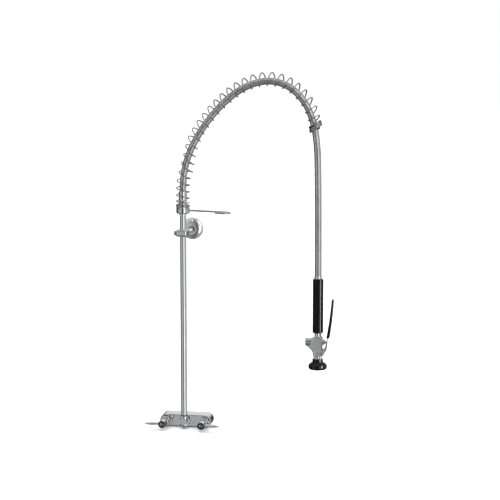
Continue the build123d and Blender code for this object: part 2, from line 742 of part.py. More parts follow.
spring_points = []
length = 0.0
for turn, pitch in enumerate(spring_pitches()):
    for step in range(POINTS_PER_TURN):
        centre, outward, sideways = spring_axis(length)
        angle = -2 * math.pi * step / POINTS_PER_TURN
        spoke = outward * math.cos(angle) + sideways * math.sin(angle)
        spring_points.append(centre + spoke * POINT_RADIUS)
        length += pitch / POINTS_PER_TURN
print("spring turns", len(spring_pitches()), "length", round(length, 1))

with BuildPart() as overhead_spring:
    with BuildLine() as wire_path:
        FilletPolyline(*spring_points, radius=corner_radii(spring_points))
    with BuildSketch(Plane(origin=wire_path.wires()[0] @ 0, z_dir=wire_path.wires()[0] % 0)):
        Circle(SPRING_WIRE)
    sweep()
overhead_spring.part.label = "overhead_spring"
export_step(overhead_spring.part, "parts/overhead_spring.step")

with BuildPart() as spring_end_guide:
    with BuildSketch(Plane(origin=swing_point - swing_way * 1.0, z_dir=-swing_way)):
        Circle(14.2)
        Circle(HOSE_RADIUS + 0.5, mode=Mode.SUBTRACT)
    extrude(amount=12.0)
spring_end_guide.part.label = "spring_end_guide"
export_step(spring_end_guide.part, "parts/spring_end_guide.step")

# ---------------------------------------------------------------- hose end and grip

with BuildPart() as hose_ferrule:
    with BuildSketch(spray_level(360.0)):
        Circle(9.4)
    extrude(amount=7.5)
    fillet(hose_ferrule.faces().sort_by(Axis.Z)[-1].edges(), 0.8)
    with BuildSketch(spray_level(349.0)):
        Circle(6.0)
    extrude(amount=11.0)
    with BuildSketch(spray_level(334.0)):
        Circle(6.0)
    extrude(amount=15.0)
    with BuildSketch(spray_level(336.0)):
        Circle(6.0)
        Circle(5.0, mode=Mode.SUBTRACT)
    extrude(amount=1.6, mode=Mode.SUBTRACT)
    with BuildSketch(spray_level(345.0)):
        Circle(6.0)
        Circle(4.9, mode=Mode.SUBTRACT)
    extrude(amount=3.0, mode=Mode.SUBTRACT)
    with BuildSketch(spray_level(334.0)):
        Circle(3.5)
    extrude(amount=28.0, mode=Mode.SUBTRACT)
    with BuildSketch(spray_level(361.5)):
        Circle(HOSE_RADIUS + 0.05)
    extrude(amount=6.0, mode=Mode.SUBTRACT)
hose_ferrule.part.label = "hose_ferrule"
export_step(hose_ferrule.part, "parts/hose_ferrule.step")

with BuildPart() as swivel_seal:
    with BuildSketch(spray_level(345.1)):
        Circle(6.0)
        Circle(4.95, mode=Mode.SUBTRACT)
    extrude(amount=2.8)
swivel_seal.part.label = "swivel_seal"
export_step(swivel_seal.part, "parts/swivel_seal.step")

with BuildPart() as swivel_clip:
    with BuildSketch(spray_level(336.1)):
        Circle(7.9)
        Circle(5.05, mode=Mode.SUBTRACT)
        with Locations((0, -6.5)):
            Rectangle(3.0, 4.0, mode=Mode.SUBTRACT)
    extrude(amount=1.4)
swivel_clip.part.label = "swivel_clip"
export_step(swivel_clip.part, "parts/swivel_clip.step")

with BuildPart() as grip_tube:
    with BuildSketch(spray_level(224.0)):
        Circle(TUBE_RADIUS)
    extrude(amount=134.0)
    with BuildSketch(spray_level(224.0)):
        Circle(8.1)
    extrude(amount=114.0, mode=Mode.SUBTRACT)
    with BuildSketch(spray_level(338.0)):
        Circle(6.06)
    extrude(amount=20.0, mode=Mode.SUBTRACT)
grip_tube.part.label = "grip_tube"
export_step(grip_tube.part, "parts/grip_tube.step")

with BuildPart() as grip_sleeve:
    with BuildSketch(spray_level(GRIP_BOTTOM)):
        Circle(GRIP_RADIUS)
    extrude(amount=GRIP_TOP - GRIP_BOTTOM)
    fillet(grip_sleeve.faces().sort_by(Axis.Z)[-1].edges(), 2.4)
    fillet(grip_sleeve.faces().sort_by(Axis.Z)[0].edges(), 2.4)
    with BuildSketch(spray_level(GRIP_BOTTOM)):
        Circle(TUBE_RADIUS + 0.05)
    extrude(amount=GRIP_TOP - GRIP_BOTTOM, mode=Mode.SUBTRACT)
grip_sleeve.part.label = "grip_sleeve"
export_step(grip_sleeve.part, "parts/grip_sleeve.step")

# ---------------------------------------------------------------- spray valve body

with BuildPart() as spray_body:
    with BuildSketch(spray_side(-7.5)):
        with BuildLine():
            Polyline((-9.2, 158), (9.2, 158), (9.2, 176), (11.2, 186), (11.2, 207))
            Polyline((11.2, 207), (8, 213.5), (-8, 213.5))
            Polyline((-8, 213.5), (-13, 208.5), (-27, 208.5), (-27, 193))
            Spline((-27, 193), (-17.5, 183.5), (-11.5, 170), (-9.2, 158), tangents=[(1, -0.55), (0.02, -1)])
        make_face()
    extrude(amount=15.0)
    fillet(spray_body.faces().sort_by(Axis.Y)[0].edges(), 2.5)
    fillet(spray_body.faces().sort_by(Axis.Y)[-1].edges(), 2.5)
    with BuildSketch(spray_level(178.0)):
        Circle(10.2)
    extrude(amount=30.0)
    with BuildSketch(barrel_section(-27.0)):
        Circle(BARREL_RADIUS)
    extrude(amount=38.5)
    with BuildSketch(spray_level(205.0)):
        Circle(8.0)
    extrude(amount=29.0)
    with BuildSketch(spray_level(158.0)):
        Circle(9.2)
    extrude(amount=30.0)
    with BuildSketch(spray_level(148.2)):
        Circle(7.4)
    extrude(amount=12.0)
    with BuildSketch(spray_side(-9.4)):
        with Locations((PIN_X, PIN_Z)):
            Circle(6.5)
    extrude(amount=18.8)
    with BuildSketch(barrel_section(-27.0)):
        Circle(6.8)
    extrude(amount=21.0, mode=Mode.SUBTRACT)
    with BuildSketch(barrel_section(-6.0)):
        Circle(3.6)
    extrude(amount=4.0, mode=Mode.SUBTRACT)
    with BuildSketch(barrel_section(-3.0)):
        Circle(5.0)
    extrude(amount=15.0, mode=Mode.SUBTRACT)
    with BuildSketch(spray_level(148.0)):
        Circle(4.3)
    with BuildSketch(spray_level(200.0)):
        Circle(2.9)
    loft(mode=Mode.SUBTRACT)
    with BuildSketch(spray_level(213.0)):
        Circle(4.5)
    extrude(amount=22.0, mode=Mode.SUBTRACT)
    with BuildSketch(Plane(origin=(SPRAY_X, RISER_Y, SPRAY_DATUM + 213.5), z_dir=(-13, 0, -10))):
        Circle(2.4)
    extrude(amount=16.0, mode=Mode.SUBTRACT)
    with BuildSketch(spray_side(-10.0)):
        with Locations((PIN_X, PIN_Z)):
            Circle(PIN_RADIUS + 0.02)
    extrude(amount=20.0, mode=Mode.SUBTRACT)
spray_body.part.label = "spray_body"
export_step(spray_body.part, "parts/spray_body.step")

with BuildPart() as rear_cap:
    with BuildSketch(barrel_section(-27.0)):
        Circle(8.8)
    extrude(amount=-4.0)
    fillet(rear_cap.faces().sort_by(Axis.X)[0].edges(), 2.2)
    with BuildSketch(barrel_section(-27.0)):
        Circle(6.7)
    extrude(amount=5.5)
    with BuildSketch(barrel_section(-21.5)):
        Circle(4.9)
    extrude(amount=-3.5, mode=Mode.SUBTRACT)
    with BuildSketch(barrel_section(-31.0)):
        Rectangle(11.0, 1.4)
    extrude(amount=1.2, mode=Mode.SUBTRACT)
rear_cap.part.label = "rear_cap"
export_step(rear_cap.part, "parts/rear_cap.step")

VALVE_SPRING_TURNS = 6
VALVE_SPRING_LENGTH = 10.4
valve_spring_points = []
for step in range(VALVE_SPRING_TURNS * POINTS_PER_TURN + 1):
    angle = 2 * math.pi * step / POINTS_PER_TURN
    along = VALVE_SPRING_LENGTH * step / (VALVE_SPRING_TURNS * POINTS_PER_TURN)
    valve_spring_points.append(
        Vector(
            SPRAY_X - 24.3 + along,
            RISER_Y + 3.9 * math.cos(angle),
            SPRAY_DATUM + BARREL_Z + 3.9 * math.sin(angle),
        )
    )
with BuildPart() as valve_spring:
    with BuildLine() as valve_spring_path:
        FilletPolyline(*valve_spring_points, radius=corner_radii(valve_spring_points))
    valve_wire = valve_spring_path.wires()[0]
    with BuildSketch(Plane(origin=valve_wire @ 0, z_dir=valve_wire % 0)):
        Circle(0.45)
    sweep()
valve_spring.part.label = "valve_spring"
export_step(valve_spring.part, "parts/valve_spring.step")

with BuildPart() as valve_stem:
    with BuildSketch(barrel_section(-13.0)):
        Circle(4.8)
    extrude(amount=3.6)
    with BuildSketch(barrel_section(-9.4)):
        Circle(PIN_RADIUS)
    extrude(amount=26.8)
    with BuildSketch(barrel_section(17.2)):
        Circle(3.25)
    extrude(amount=3.4)
    fillet(valve_stem.faces().sort_by(Axis.X)[-1].edges(), 1.4)
valve_stem.part.label = "valve_stem"
export_step(valve_stem.part, "parts/valve_stem.step")

with BuildPart() as valve_disc:
    with BuildSketch(barrel_section(-9.3)):
        Circle(5.4)
        Circle(PIN_RADIUS + 0.05, mode=Mode.SUBTRACT)
    extrude(amount=3.2)
valve_disc.part.label = "valve_disc"
export_step(valve_disc.part, "parts/valve_disc.step")

with BuildPart() as stem_seal:
    with BuildSketch(barrel_section(5.0)):
        Circle(4.95)
        Circle(PIN_RADIUS + 0.05, mode=Mode.SUBTRACT)
    extrude(amount=2.6)
stem_seal.part.label = "stem_seal"
export_step(stem_seal.part, "parts/stem_seal.step")

with BuildPart() as valve_bonnet:
    with BuildSketch(barrel_section(7.8)):
        Circle(4.9)
    extrude(amount=3.8)
    with BuildSketch(barrel_section(11.6)):
        RegularPolygon(7.4, 6)
    extrude(amount=5.8)
    chamfer(valve_bonnet.faces().sort_by(Axis.X)[-1].edges(), 1.0)
    with BuildSketch(barrel_section(7.8)):
        Circle(PIN_RADIUS + 0.05)
    extrude(amount=9.6, mode=Mode.SUBTRACT)
    with BuildSketch(barrel_section(13.4)):
        Circle(3.4)
    extrude(amount=4.0, mode=Mode.SUBTRACT)
valve_bonnet.part.label = "valve_bonnet"
export_step(valve_bonnet.part, "parts/valve_bonnet.step")

# ---------------------------------------------------------------- lever

# centre line of the lever's steel strip, across the valve and up
STRIP_LINE = [
    (19.3, 177),
    (20.9, 188),
    (22.4, 200),
    (25.4, 211),
    (28.4, 229),
    (31.6, 251),
    (34.2, 274),
    (35.9, 292),
    (36.8, 305),
]
STRIP_HALF = 1.05
SLEEVE_BOTTOM_HALF = 3.6
SLEEVE_TOP_HALF = 2.1


def strip_outline(points, halves):
    """Closed smooth outline of a strip, this far each side of its centre line."""
    left = [(x - half, z) for (x, z), half in zip(points, halves)]
    right = [(x + half, z) for (x, z), half in zip(points, halves)]
    Spline(*left)
    Line(left[-1], right[-1])
    Spline(*reversed(right))
    Line(right[0], left[0])


with BuildPart() as lever:
    with BuildSketch(spray_side(-5.0)):
        with BuildLine():
            strip_outline(STRIP_LINE, [STRIP_HALF] * len(STRIP_LINE))
        make_face()
    extrude(amount=10.0)
    with BuildSketch(spray_side(-CHEEK_OUTER)):
        with BuildLine():
            strip_outline(STRIP_LINE[:3], [STRIP_HALF] * 3)
        make_face()
    extrude(amount=2 * CHEEK_OUTER)
    for start in (-CHEEK_OUTER, CHEEK_INNER):
        with BuildSketch(spray_side(start)):
            with Locations((PIN_X, PIN_Z)):
                Circle(7.0)
            with BuildLine():
                Polyline((5.0, 177.4), (14.0, 181.0), (19.0, 189.0), (21.2, 189.0))
                Polyline((21.2, 189.0), (19.8, 177.0), (14.5, 167.0), (5.0, 177.4))
            make_face()
        extrude(amount=CHEEK_OUTER - CHEEK_INNER)
    with BuildSketch(spray_side(-CHEEK_OUTER)):
        with Locations((PIN_X, PIN_Z)):
            Circle(PIN_RADIUS + 0.06)
    extrude(amount=2 * CHEEK_OUTER, mode=Mode.SUBTRACT)
lever.part.label = "lever"
export_step(lever.part, "parts/lever.step")

sleeve_line = STRIP_LINE[3:-1] + [(36.95, 308.4)]
sleeve_count = len(sleeve_line) - 1
sleeve_halves = [
    SLEEVE_BOTTOM_HALF + (SLEEVE_TOP_HALF - SLEEVE_BOTTOM_HALF) * index / sleeve_count
    for index in range(len(sleeve_line))
]
with BuildPart() as lever_sleeve:
    with BuildSketch(spray_side(-8.0)):
        with BuildLine():
            strip_outline(sleeve_line, sleeve_halves)
        make_face()
    extrude(amount=16.0)
    fillet(lever_sleeve.edges().filter_by(Axis.Y), 1.6)
    fillet(lever_sleeve.faces().sort_by(Axis.Y)[0].edges(), 1.4)
    fillet(lever_sleeve.faces().sort_by(Axis.Y)[-1].edges(), 1.4)
    with BuildSketch(spray_side(-5.1)):
        with BuildLine():
            strip_outline(STRIP_LINE, [STRIP_HALF + 0.08] * len(STRIP_LINE))
        make_face()
    extrude(amount=10.2, mode=Mode.SUBTRACT)
lever_sleeve.part.label = "lever_sleeve"
export_step(lever_sleeve.part, "parts/lever_sleeve.step")

with BuildPart() as lever_pin:
    with BuildSketch(spray_side(-12.1)):
        with Locations((PIN_X, PIN_Z)):
            Circle(PIN_RADIUS)
    extrude(amount=24.2)
    for start in (-13.3, 12.1):
        with BuildSketch(spray_side(start)):
            with Locations((PIN_X, PIN_Z)):
                Circle(3.4)
        extrude(amount=1.2)
lever_pin.part.label = "lever_pin"
export_step(lever_pin.part, "parts/lever_pin.step")

# ---------------------------------------------------------------- spray head

with BuildPart() as spray_head:
    with BuildSketch(spray_side()):
        with BuildLine():
            Polyline(
                (7.5, 157.6),
                (10.8, 157.6),
                (10.8, 147.5),
                (18.0, 140.0),
                (18.0, FACE_Z),
                (17.1, FACE_Z),
                (17.1, FACE_Z + 2.6),
                (15.5, FACE_Z + 2.6),
                (15.5, 139.2),
                (7.0, 146.6),
                (7.0, 147.9),
                (7.5, 147.9),
                close=True,
            )
        make_face()
    revolve(axis=Axis((SPRAY_X, RISER_Y, 0), (0, 0, 1)))
spray_head.part.label = "spray_head"
export_step(spray_head.part, "parts/spray_head.step")

with BuildPart() as spray_face:
    with BuildSketch(spray_level(FACE_Z)):
        Circle(17.0)
        for ring, count in ((4.5, 6), (9.0, 12), (13.2, 18)):
            with PolarLocations(ring, count):
                Circle(0.9, mode=Mode.SUBTRACT)
    extrude(amount=2.4)
spray_face.part.label = "spray_face"
export_step(spray_face.part, "parts/spray_face.step")

with BuildPart() as rubber_bumper:
    with BuildSketch(spray_side()):
        with BuildLine():
            Polyline((11.0, 157.8), (12.4, 157.8), (13.2, 157.0), (13.2, 148.2))
            ThreePointArc((13.2, 148.2), (17.0, 146.2), (20.6, 143.6))
            ThreePointArc((20.6, 143.6), (BUMPER_RADIUS, 138.2), (19.6, BUMPER_BOTTOM))
            Polyline((19.6, BUMPER_BOTTOM), (16.0, BUMPER_BOTTOM), (16.0, FACE_Z - 0.2))
            Polyline((16.0, FACE_Z - 0.2), (18.2, FACE_Z - 0.2), (18.2, 140.1), (11.0, 147.6), (11.0, 157.8))
        make_face()
    revolve(axis=Axis((SPRAY_X, RISER_Y, 0), (0, 0, 1)))
rubber_bumper.part.label = "rubber_bumper"
export_step(rubber_bumper.part, "parts/rubber_bumper.step")
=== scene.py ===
import bisect
import json
import math

import bmesh
import bpy
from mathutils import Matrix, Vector


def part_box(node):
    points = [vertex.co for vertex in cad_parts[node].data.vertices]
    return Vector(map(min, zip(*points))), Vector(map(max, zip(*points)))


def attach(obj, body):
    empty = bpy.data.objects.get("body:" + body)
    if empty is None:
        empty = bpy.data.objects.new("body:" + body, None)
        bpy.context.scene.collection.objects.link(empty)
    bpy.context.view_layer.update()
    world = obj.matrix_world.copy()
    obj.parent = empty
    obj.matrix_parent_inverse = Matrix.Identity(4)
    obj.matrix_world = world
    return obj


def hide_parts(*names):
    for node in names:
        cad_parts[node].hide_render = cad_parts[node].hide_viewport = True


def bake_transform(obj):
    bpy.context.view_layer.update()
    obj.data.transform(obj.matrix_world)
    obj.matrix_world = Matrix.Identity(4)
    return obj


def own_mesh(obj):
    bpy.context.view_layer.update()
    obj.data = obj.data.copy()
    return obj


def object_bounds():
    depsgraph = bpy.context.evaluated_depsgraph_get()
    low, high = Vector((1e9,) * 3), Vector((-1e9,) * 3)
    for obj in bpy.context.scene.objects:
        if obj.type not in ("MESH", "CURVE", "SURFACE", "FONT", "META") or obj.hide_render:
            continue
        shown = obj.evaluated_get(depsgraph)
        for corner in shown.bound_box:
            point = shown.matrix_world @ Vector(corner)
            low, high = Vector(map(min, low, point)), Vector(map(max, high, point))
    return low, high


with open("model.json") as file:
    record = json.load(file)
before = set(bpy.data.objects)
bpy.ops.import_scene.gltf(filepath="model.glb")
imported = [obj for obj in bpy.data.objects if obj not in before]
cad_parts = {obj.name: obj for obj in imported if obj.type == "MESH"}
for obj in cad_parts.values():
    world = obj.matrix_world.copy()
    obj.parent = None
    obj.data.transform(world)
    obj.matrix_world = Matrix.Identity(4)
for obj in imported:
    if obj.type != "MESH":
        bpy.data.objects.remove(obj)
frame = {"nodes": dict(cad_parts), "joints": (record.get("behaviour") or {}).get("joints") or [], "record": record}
cad_low, cad_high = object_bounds()

# Wall-mounted pre-rinse faucet, metres, +Z up, -Y towards the user.

RISER_Y = -0.052

# ---------------------------------------------------------------- camera

CAMERA_PLACE = (0.781, -3.456, 0.901)
CAMERA_TURN = math.radians(10.16)
CAMERA_DIP = math.radians(7.46)
CAMERA_LENS = 100.5
CAMERA_REACH = 60.0

camera_data = bpy.data.cameras.new("camera")
camera_data.lens = CAMERA_LENS
camera_data.clip_end = CAMERA_REACH
camera = bpy.data.objects.new("camera", camera_data)
camera.location = CAMERA_PLACE
camera.rotation_euler = (math.pi / 2 - CAMERA_DIP, 0.0, CAMERA_TURN)
bpy.context.scene.collection.objects.link(camera)
bpy.context.scene.camera = camera


# ---------------------------------------------------------------- mesh helpers


def new_piece(name, vertices, faces, smooth=True):
    """A mesh object from points and faces, in the frame."""
    mesh = bpy.data.meshes.new(name)
    mesh.from_pydata(vertices, [], faces)
    mesh.validate()
    if smooth:
        mesh.polygons.foreach_set("use_smooth", [True] * len(mesh.polygons))
    piece = bpy.data.objects.new(name, mesh)
    bpy.context.scene.collection.objects.link(piece)
    return piece


def on_circle(centre, across, beside, angle, radius):
    """A place on a circle, at an angle from across towards beside."""
    return centre + (across * math.cos(angle) + beside * math.sin(angle)) * radius


def ring_faces(rings, sides):
    """Quads between rings of points that follow each other, and a face over each end."""
    faces = []
    for ring in range(rings - 1):
        for side in range(sides):
            after = (side + 1) % sides
            low, high = ring * sides, (ring + 1) * sides
            faces.append((low + side, low + after, high + after, high + side))
    faces.append(tuple(reversed(range(sides))))
    faces.append(tuple(range((rings - 1) * sides, rings * sides)))
    return faces


# ---------------------------------------------------------------- hose route

HOSE_RADIUS = 0.0085
# the places that steer the hose, x and z, from its nipple to the grip
HOSE_ROUTE = [
    (0.000, 0.579),
    (0.000, 0.621),
    (0.010, 0.672),
    (0.032, 0.721),
    (0.063, 0.768),
    (0.101, 0.811),
    (0.141, 0.844),
    (0.182, 0.863),
    (0.221, 0.869),
    (0.259, 0.860),
    (0.290, 0.838),
    (0.314, 0.806),
    (0.329, 0.768),
    (0.337, 0.728),
    (0.342, 0.654),
    (0.343, 0.3825),
]
ROUTE_RESOLUTION = 32
ROUTE_ORDER = 3


def route_points(places):
    """Points along the smooth line that the route's places control."""
    curve = bpy.data.curves.new("route", "CURVE")
    curve.dimensions = "3D"
    curve.resolution_u = ROUTE_RESOLUTION
    spline = curve.splines.new("NURBS")
    spline.points.add(len(places) - 1)
    for point, (x, z) in zip(spline.points, places):
        point.co = (x, RISER_Y, z, 1.0)
    spline.order_u = ROUTE_ORDER
    spline.use_endpoint_u = True
    holder = bpy.data.objects.new("route", curve)
    mesh = bpy.data.meshes.new_from_object(holder)
    points = [vertex.co.copy() for vertex in mesh.vertices]
    bpy.data.objects.remove(holder)
    bpy.data.curves.remove(curve)
    bpy.data.meshes.remove(mesh)
    return points


class Line:
    """A smooth line through points, read by the length from its start."""

    def __init__(self, points):
        self.points = points
        self.marks = [0.0]
        for before, after in zip(points, points[1:]):
            self.marks.append(self.marks[-1] + (after - before).length)
        self.length = self.marks[-1]
        self.ways = []
        last = len(points) - 1
        for index in range(len(points)):
            ahead = points[min(index + 1, last)]
            behind = points[max(index - 1, 0)]
            self.ways.append((ahead - behind).normalized())

    def at(self, length):
        """The point and the way along at this length; straight on beyond either end."""
        if length <= 0.0:
            return self.points[0] + self.ways[0] * length, self.ways[0]
        if length >= self.length:
            return self.points[-1] + self.ways[-1] * (length - self.length), self.ways[-1]
        index = bisect.bisect_right(self.marks, length) - 1
        share = (length - self.marks[index]) / (self.marks[index + 1] - self.marks[index])
        place = self.points[index].lerp(self.points[index + 1], share)
        way = self.ways[index].lerp(self.ways[index + 1], share).normalized()
        return place, way

    def nearest(self, place):
        """The length at which the line comes nearest to a place."""
        gaps = [(point - place).length for point in self.points]
        return self.marks[gaps.index(min(gaps))]


def outward_and_side(way):
    """The outer side of the arch and the way across it, for a line in the arch's plane."""
    outward = Vector((-way.z, 0.0, way.x))
    return outward, way.cross(outward)


hose_line = Line(route_points(HOSE_ROUTE))

# ---------------------------------------------------------------- hose

HOSE_PITCH = 0.0030
HOSE_GROOVE = 0.00028
HOSE_SIDES = 32
# depth of the wound strip's profile across one pitch, as a share of the groove
HOSE_PROFILE = (1.0, 0.45, 0.08, 0.0, 0.0, 0.08, 0.45)


def wound_hose(name, line, radius):
    """A tube wound from one strip, with the groove between its turns."""
    steps = len(HOSE_PROFILE)
    rows = round(line.length / HOSE_PITCH) * steps
    vertices = []
    for row in range(rows + 1):
        reach = radius - HOSE_GROOVE * HOSE_PROFILE[row % steps]
        for side in range(HOSE_SIDES):
            length = HOSE_PITCH * (row / steps + side / HOSE_SIDES)
            place, way = line.at(min(length, line.length))
            outward, across = outward_and_side(way)
            angle = 2 * math.pi * side / HOSE_SIDES
            vertices.append(on_circle(place, outward, across, angle, reach))
    faces = []
    for row in range(rows - steps + 1):
        for side in range(HOSE_SIDES):
            low = row * HOSE_SIDES + side
            if side + 1 < HOSE_SIDES:
                beside = low + 1
            else:
                beside = (row + steps) * HOSE_SIDES
            if beside + HOSE_SIDES < len(vertices):
                faces.append((low, beside, beside + HOSE_SIDES, low + HOSE_SIDES))
    return new_piece(name, vertices, faces)


hose = wound_hose("wound_hose", hose_line, HOSE_RADIUS)
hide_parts("hose_upper", "hose_lower")

swing_joint = next(joint for joint in frame["joints"] if joint["name"] == "hose_swing")
swing_place = Vector(swing_joint["pos_m"])

# ---------------------------------------------------------------- overhead spring

SPRING_START = 0.5524
SPRING_RADIUS = 0.0160
WIRE_RADIUS = 0.0016
WIRE_SIDES = 14
STEPS_PER_TURN = 44
CLOSED_PITCH = 0.0034
FOOT_CLOSED_TURNS = 2
END_CLOSED_TURNS = 3
OPENING_PITCHES = [0.0090, 0.0155, 0.0170, 0.0180, 0.0195]
CLOSING_PITCH = 0.0120
ARCH_PITCH = 0.0215
SPRING_END_GAP = 0.0025
ARCH_OFFSET = 0.0054
END_OFFSET = 0.0030
# how far the spring's axis stands outside the hose's, against the length from the spring's foot
FOOT_OFFSETS = [
    (0.0, 0.0),
    (0.060, 0.0),
    (0.104, -0.005),
    (0.125, -0.004),
    (0.147, 0.0),
    (0.170, 0.0035),
    (0.198, ARCH_OFFSET),
]
# the same, against the length back from the spring's end
END_OFFSETS = [(0.034, ARCH_OFFSET), (0.010, END_OFFSET)]
# how far the turns lean, in degrees: their outer side towards the top of the arch
FOOT_LEAN = -13
END_LEAN = 24
FOOT_LEANS = [(0.0, 0.0), (0.050, 0.0), (0.110, FOOT_LEAN), (0.230, FOOT_LEAN)]
END_LEAN_START = 0.060
ARCH_TOP = Vector((0.221, RISER_Y, 0.869))

spring_foot = HOSE_ROUTE[0][1] - SPRING_START
spring_length = spring_foot + hose_line.nearest(swing_place) - SPRING_END_GAP


def spring_pitches():
    """Length of each turn: closed at both ends and opening between them."""
    closed_turns = FOOT_CLOSED_TURNS + END_CLOSED_TURNS
    used = closed_turns * CLOSED_PITCH + sum(OPENING_PITCHES) + CLOSING_PITCH
    count = round((spring_length - used) / ARCH_PITCH)
    open_turn = (spring_length - used) / count
    foot = [CLOSED_PITCH] * FOOT_CLOSED_TURNS + OPENING_PITCHES
    end = [CLOSING_PITCH] + [CLOSED_PITCH] * END_CLOSED_TURNS
    return foot + [open_turn] * count + end


def eased(low, high, share):
    """From low to high with a level start and end."""
    return low + (high - low) * share * share * (3 - 2 * share)


def between(marks, length):
    """The value at this length, from marks of (length, value) that follow each other."""
    for (start, low), (end, high) in zip(marks, marks[1:]):
        if length <= end:
            return eased(low, high, (length - start) / (end - start))
    return marks[-1][1]


def spring_offset(length):
    """How far the spring's axis stands outside the hose's, at this length from its foot."""
    ending = [(spring_length - back, offset) for back, offset in END_OFFSETS]
    return between(FOOT_OFFSETS + ending, length)


def spring_lean(length):
    """How much the turns lean at this length from the spring's foot, as a slope."""
    top = spring_foot + hose_line.nearest(ARCH_TOP)
    ending = [(top, 0.0), (spring_length - END_LEAN_START, END_LEAN)]
    return math.tan(math.radians(between(FOOT_LEANS + ending, length)))


def spring_wire_points():
    """Points along the middle of the spring's wire."""
    points = []
    length = 0.0
    for pitch in spring_pitches():
        for step in range(STEPS_PER_TURN):
            place, way = hose_line.at(length - spring_foot)
            outward, across = outward_and_side(way)
            angle = -2 * math.pi * step / STEPS_PER_TURN
            centre = place + outward * spring_offset(length)
            leaning = outward - way * spring_lean(length)
            points.append(on_circle(centre, leaning, across, angle, SPRING_RADIUS))
            length += pitch / STEPS_PER_TURN
    return points


def wire(name, points, radius, sides):
    """A round wire along points, its section turned as little as possible from one to the next."""
    line = Line(points)
    across = line.ways[0].orthogonal().normalized()
    vertices = []
    for place, way in zip(points, line.ways):
        across = (across - way * across.dot(way)).normalized()
        beside = way.cross(across)
        for side in range(sides):
            angle = 2 * math.pi * side / sides
            vertices.append(on_circle(place, across, beside, angle, radius))
    return new_piece(name, vertices, ring_faces(len(points), sides))


spring = wire("arch_spring", spring_wire_points(), WIRE_RADIUS, WIRE_SIDES)
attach(spring, "arch")
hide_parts("overhead_spring")

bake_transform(hose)

# ---------------------------------------------------------------- turned and cast pieces

TURNED_SIDES = 96
HUB_SIDES = 64
ROD_SIDES = 64
WELD = 0.000002
SHARP_ANGLE = math.radians(38)


def faced_outward(piece, weld=0.0):
    """Turns a piece's faces outward, with the points closer than the weld made one."""
    work = bmesh.new()
    work.from_mesh(piece.data)
    if weld:
        bmesh.ops.remove_doubles(work, verts=work.verts, dist=weld)
    bmesh.ops.recalc_face_normals(work, faces=work.faces)
    work.to_mesh(piece.data)
    work.free()


def turned(name, profile, origin, axis, sides=TURNED_SIDES):
    """A piece turned about an axis from its profile of (distance from the axis, length along it)."""
    axis = Vector(axis)
    across = axis.orthogonal().normalized()
    beside = axis.cross(across)
    vertices = []
    for reach, along in profile:
        centre = Vector(origin) + axis * along
        for side in range(sides):
            angle = 2 * math.pi * side / sides
            vertices.append(on_circle(centre, across, beside, angle, reach))
    faces = []
    count = len(profile)
    for ring in range(count):
        low, high = ring * sides, (ring + 1) % count * sides
        for side in range(sides):
            after = (side + 1) % sides
            faces.append((low + side, low + after, high + after, high + side))
    piece = new_piece(name, vertices, faces)
    faced_outward(piece, WELD)
    piece.data.set_sharp_from_angle(angle=SHARP_ANGLE)
    return piece


def prism(outline, low, high):
    """Corner points and faces of an outline of (x, z) carried from one y to another."""
    count = len(outline)
    vertices = [(x, low, z) for x, z in outline] + [(x, high, z) for x, z in outline]
    faces = [tuple(range(count)), tuple(reversed(range(count, 2 * count)))]
    for index in range(count):
        after = (index + 1) % count
        faces.append((index, index + count, after + count, after))
    return vertices, faces


def rod(start, end, radius):
    """Points and faces of a closed round bar between two places."""
    start, end = Vector(start), Vector(end)
    way = (end - start).normalized()
    across = way.orthogonal().normalized()
    beside = way.cross(across)
    vertices = []
    for place in (start, end):
        for side in range(ROD_SIDES):
            angle = 2 * math.pi * side / ROD_SIDES
            vertices.append(on_circle(place, across, beside, angle, radius))
    return vertices, ring_faces(2, ROD_SIDES)


def gathered(name, parts):
    """One mesh object from several closed bodies."""
    vertices, faces = [], []
    for places, sides in parts:
        start = len(vertices)
        vertices.extend(places)
        faces.extend(tuple(start + index for index in side) for side in sides)
    piece = new_piece(name, vertices, faces)
    faced_outward(piece)
    return piece


def applied(piece):
    """Fixes a piece's modifiers into its mesh."""
    seen = bpy.context.evaluated_depsgraph_get()
    mesh = bpy.data.meshes.new_from_object(piece.evaluated_get(seen))
    mesh.polygons.foreach_set("use_smooth", [True] * len(mesh.polygons))
    mesh.set_sharp_from_angle(angle=SHARP_ANGLE)
    piece.modifiers.clear()
    piece.data = mesh


def melted(piece, grain, rounds):
    """Joins a piece's bodies into one casting with softened edges."""
    remesh = piece.modifiers.new("melt", "REMESH")
    remesh.mode = "VOXEL"
    remesh.voxel_size = grain
    soften = piece.modifiers.new("soften", "SMOOTH")
    soften.factor = CAST_SOFTNESS
    soften.iterations = rounds
    applied(piece)


# spray valve, metres, x from its axis and z above its datum
SPRAY_X = 0.343
SPRAY_DATUM = 0.0205
BARREL_Z = 0.200
CAST_BARREL_Z = 0.1996
CAST_BARREL_RADIUS = 0.0105
CAST_GRAIN = 0.00055
CAST_ROUNDS = 9
CAST_SOFTNESS = 0.5
PIN_X = 0.0095
PIN_Z = 0.172
PIN_HOLE = 0.00202
PIN_BOSS_RADIUS = 0.0068
PIN_BOSS_HALF = 0.0094
# room for the lever's cheeks at the pin, and the groove round them, its angles in degrees
CHEEK_CLEARANCE = 0.0102
CHEEK_GROOVE_HALF = 0.0060
CHEEK_GROOVE_GAP = 0.0002
CHEEK_GROOVE_OUTSIDE = range(64, 187, 6)
CHEEK_GROOVE_INSIDE = range(184, 62, -6)
# distances from the casting's middle that lie past the pin boss and past the flat front
PAST_BOSS = 0.0130
PAST_FRONT = 0.0110
# two dimples in the front: x and height, then their radius and how far from the middle they end
DIMPLES = [(-0.0004, 0.1838), (0.0050, 0.1875)]
DIMPLE_RADIUS = 0.0011
DIMPLE_END = 0.0088

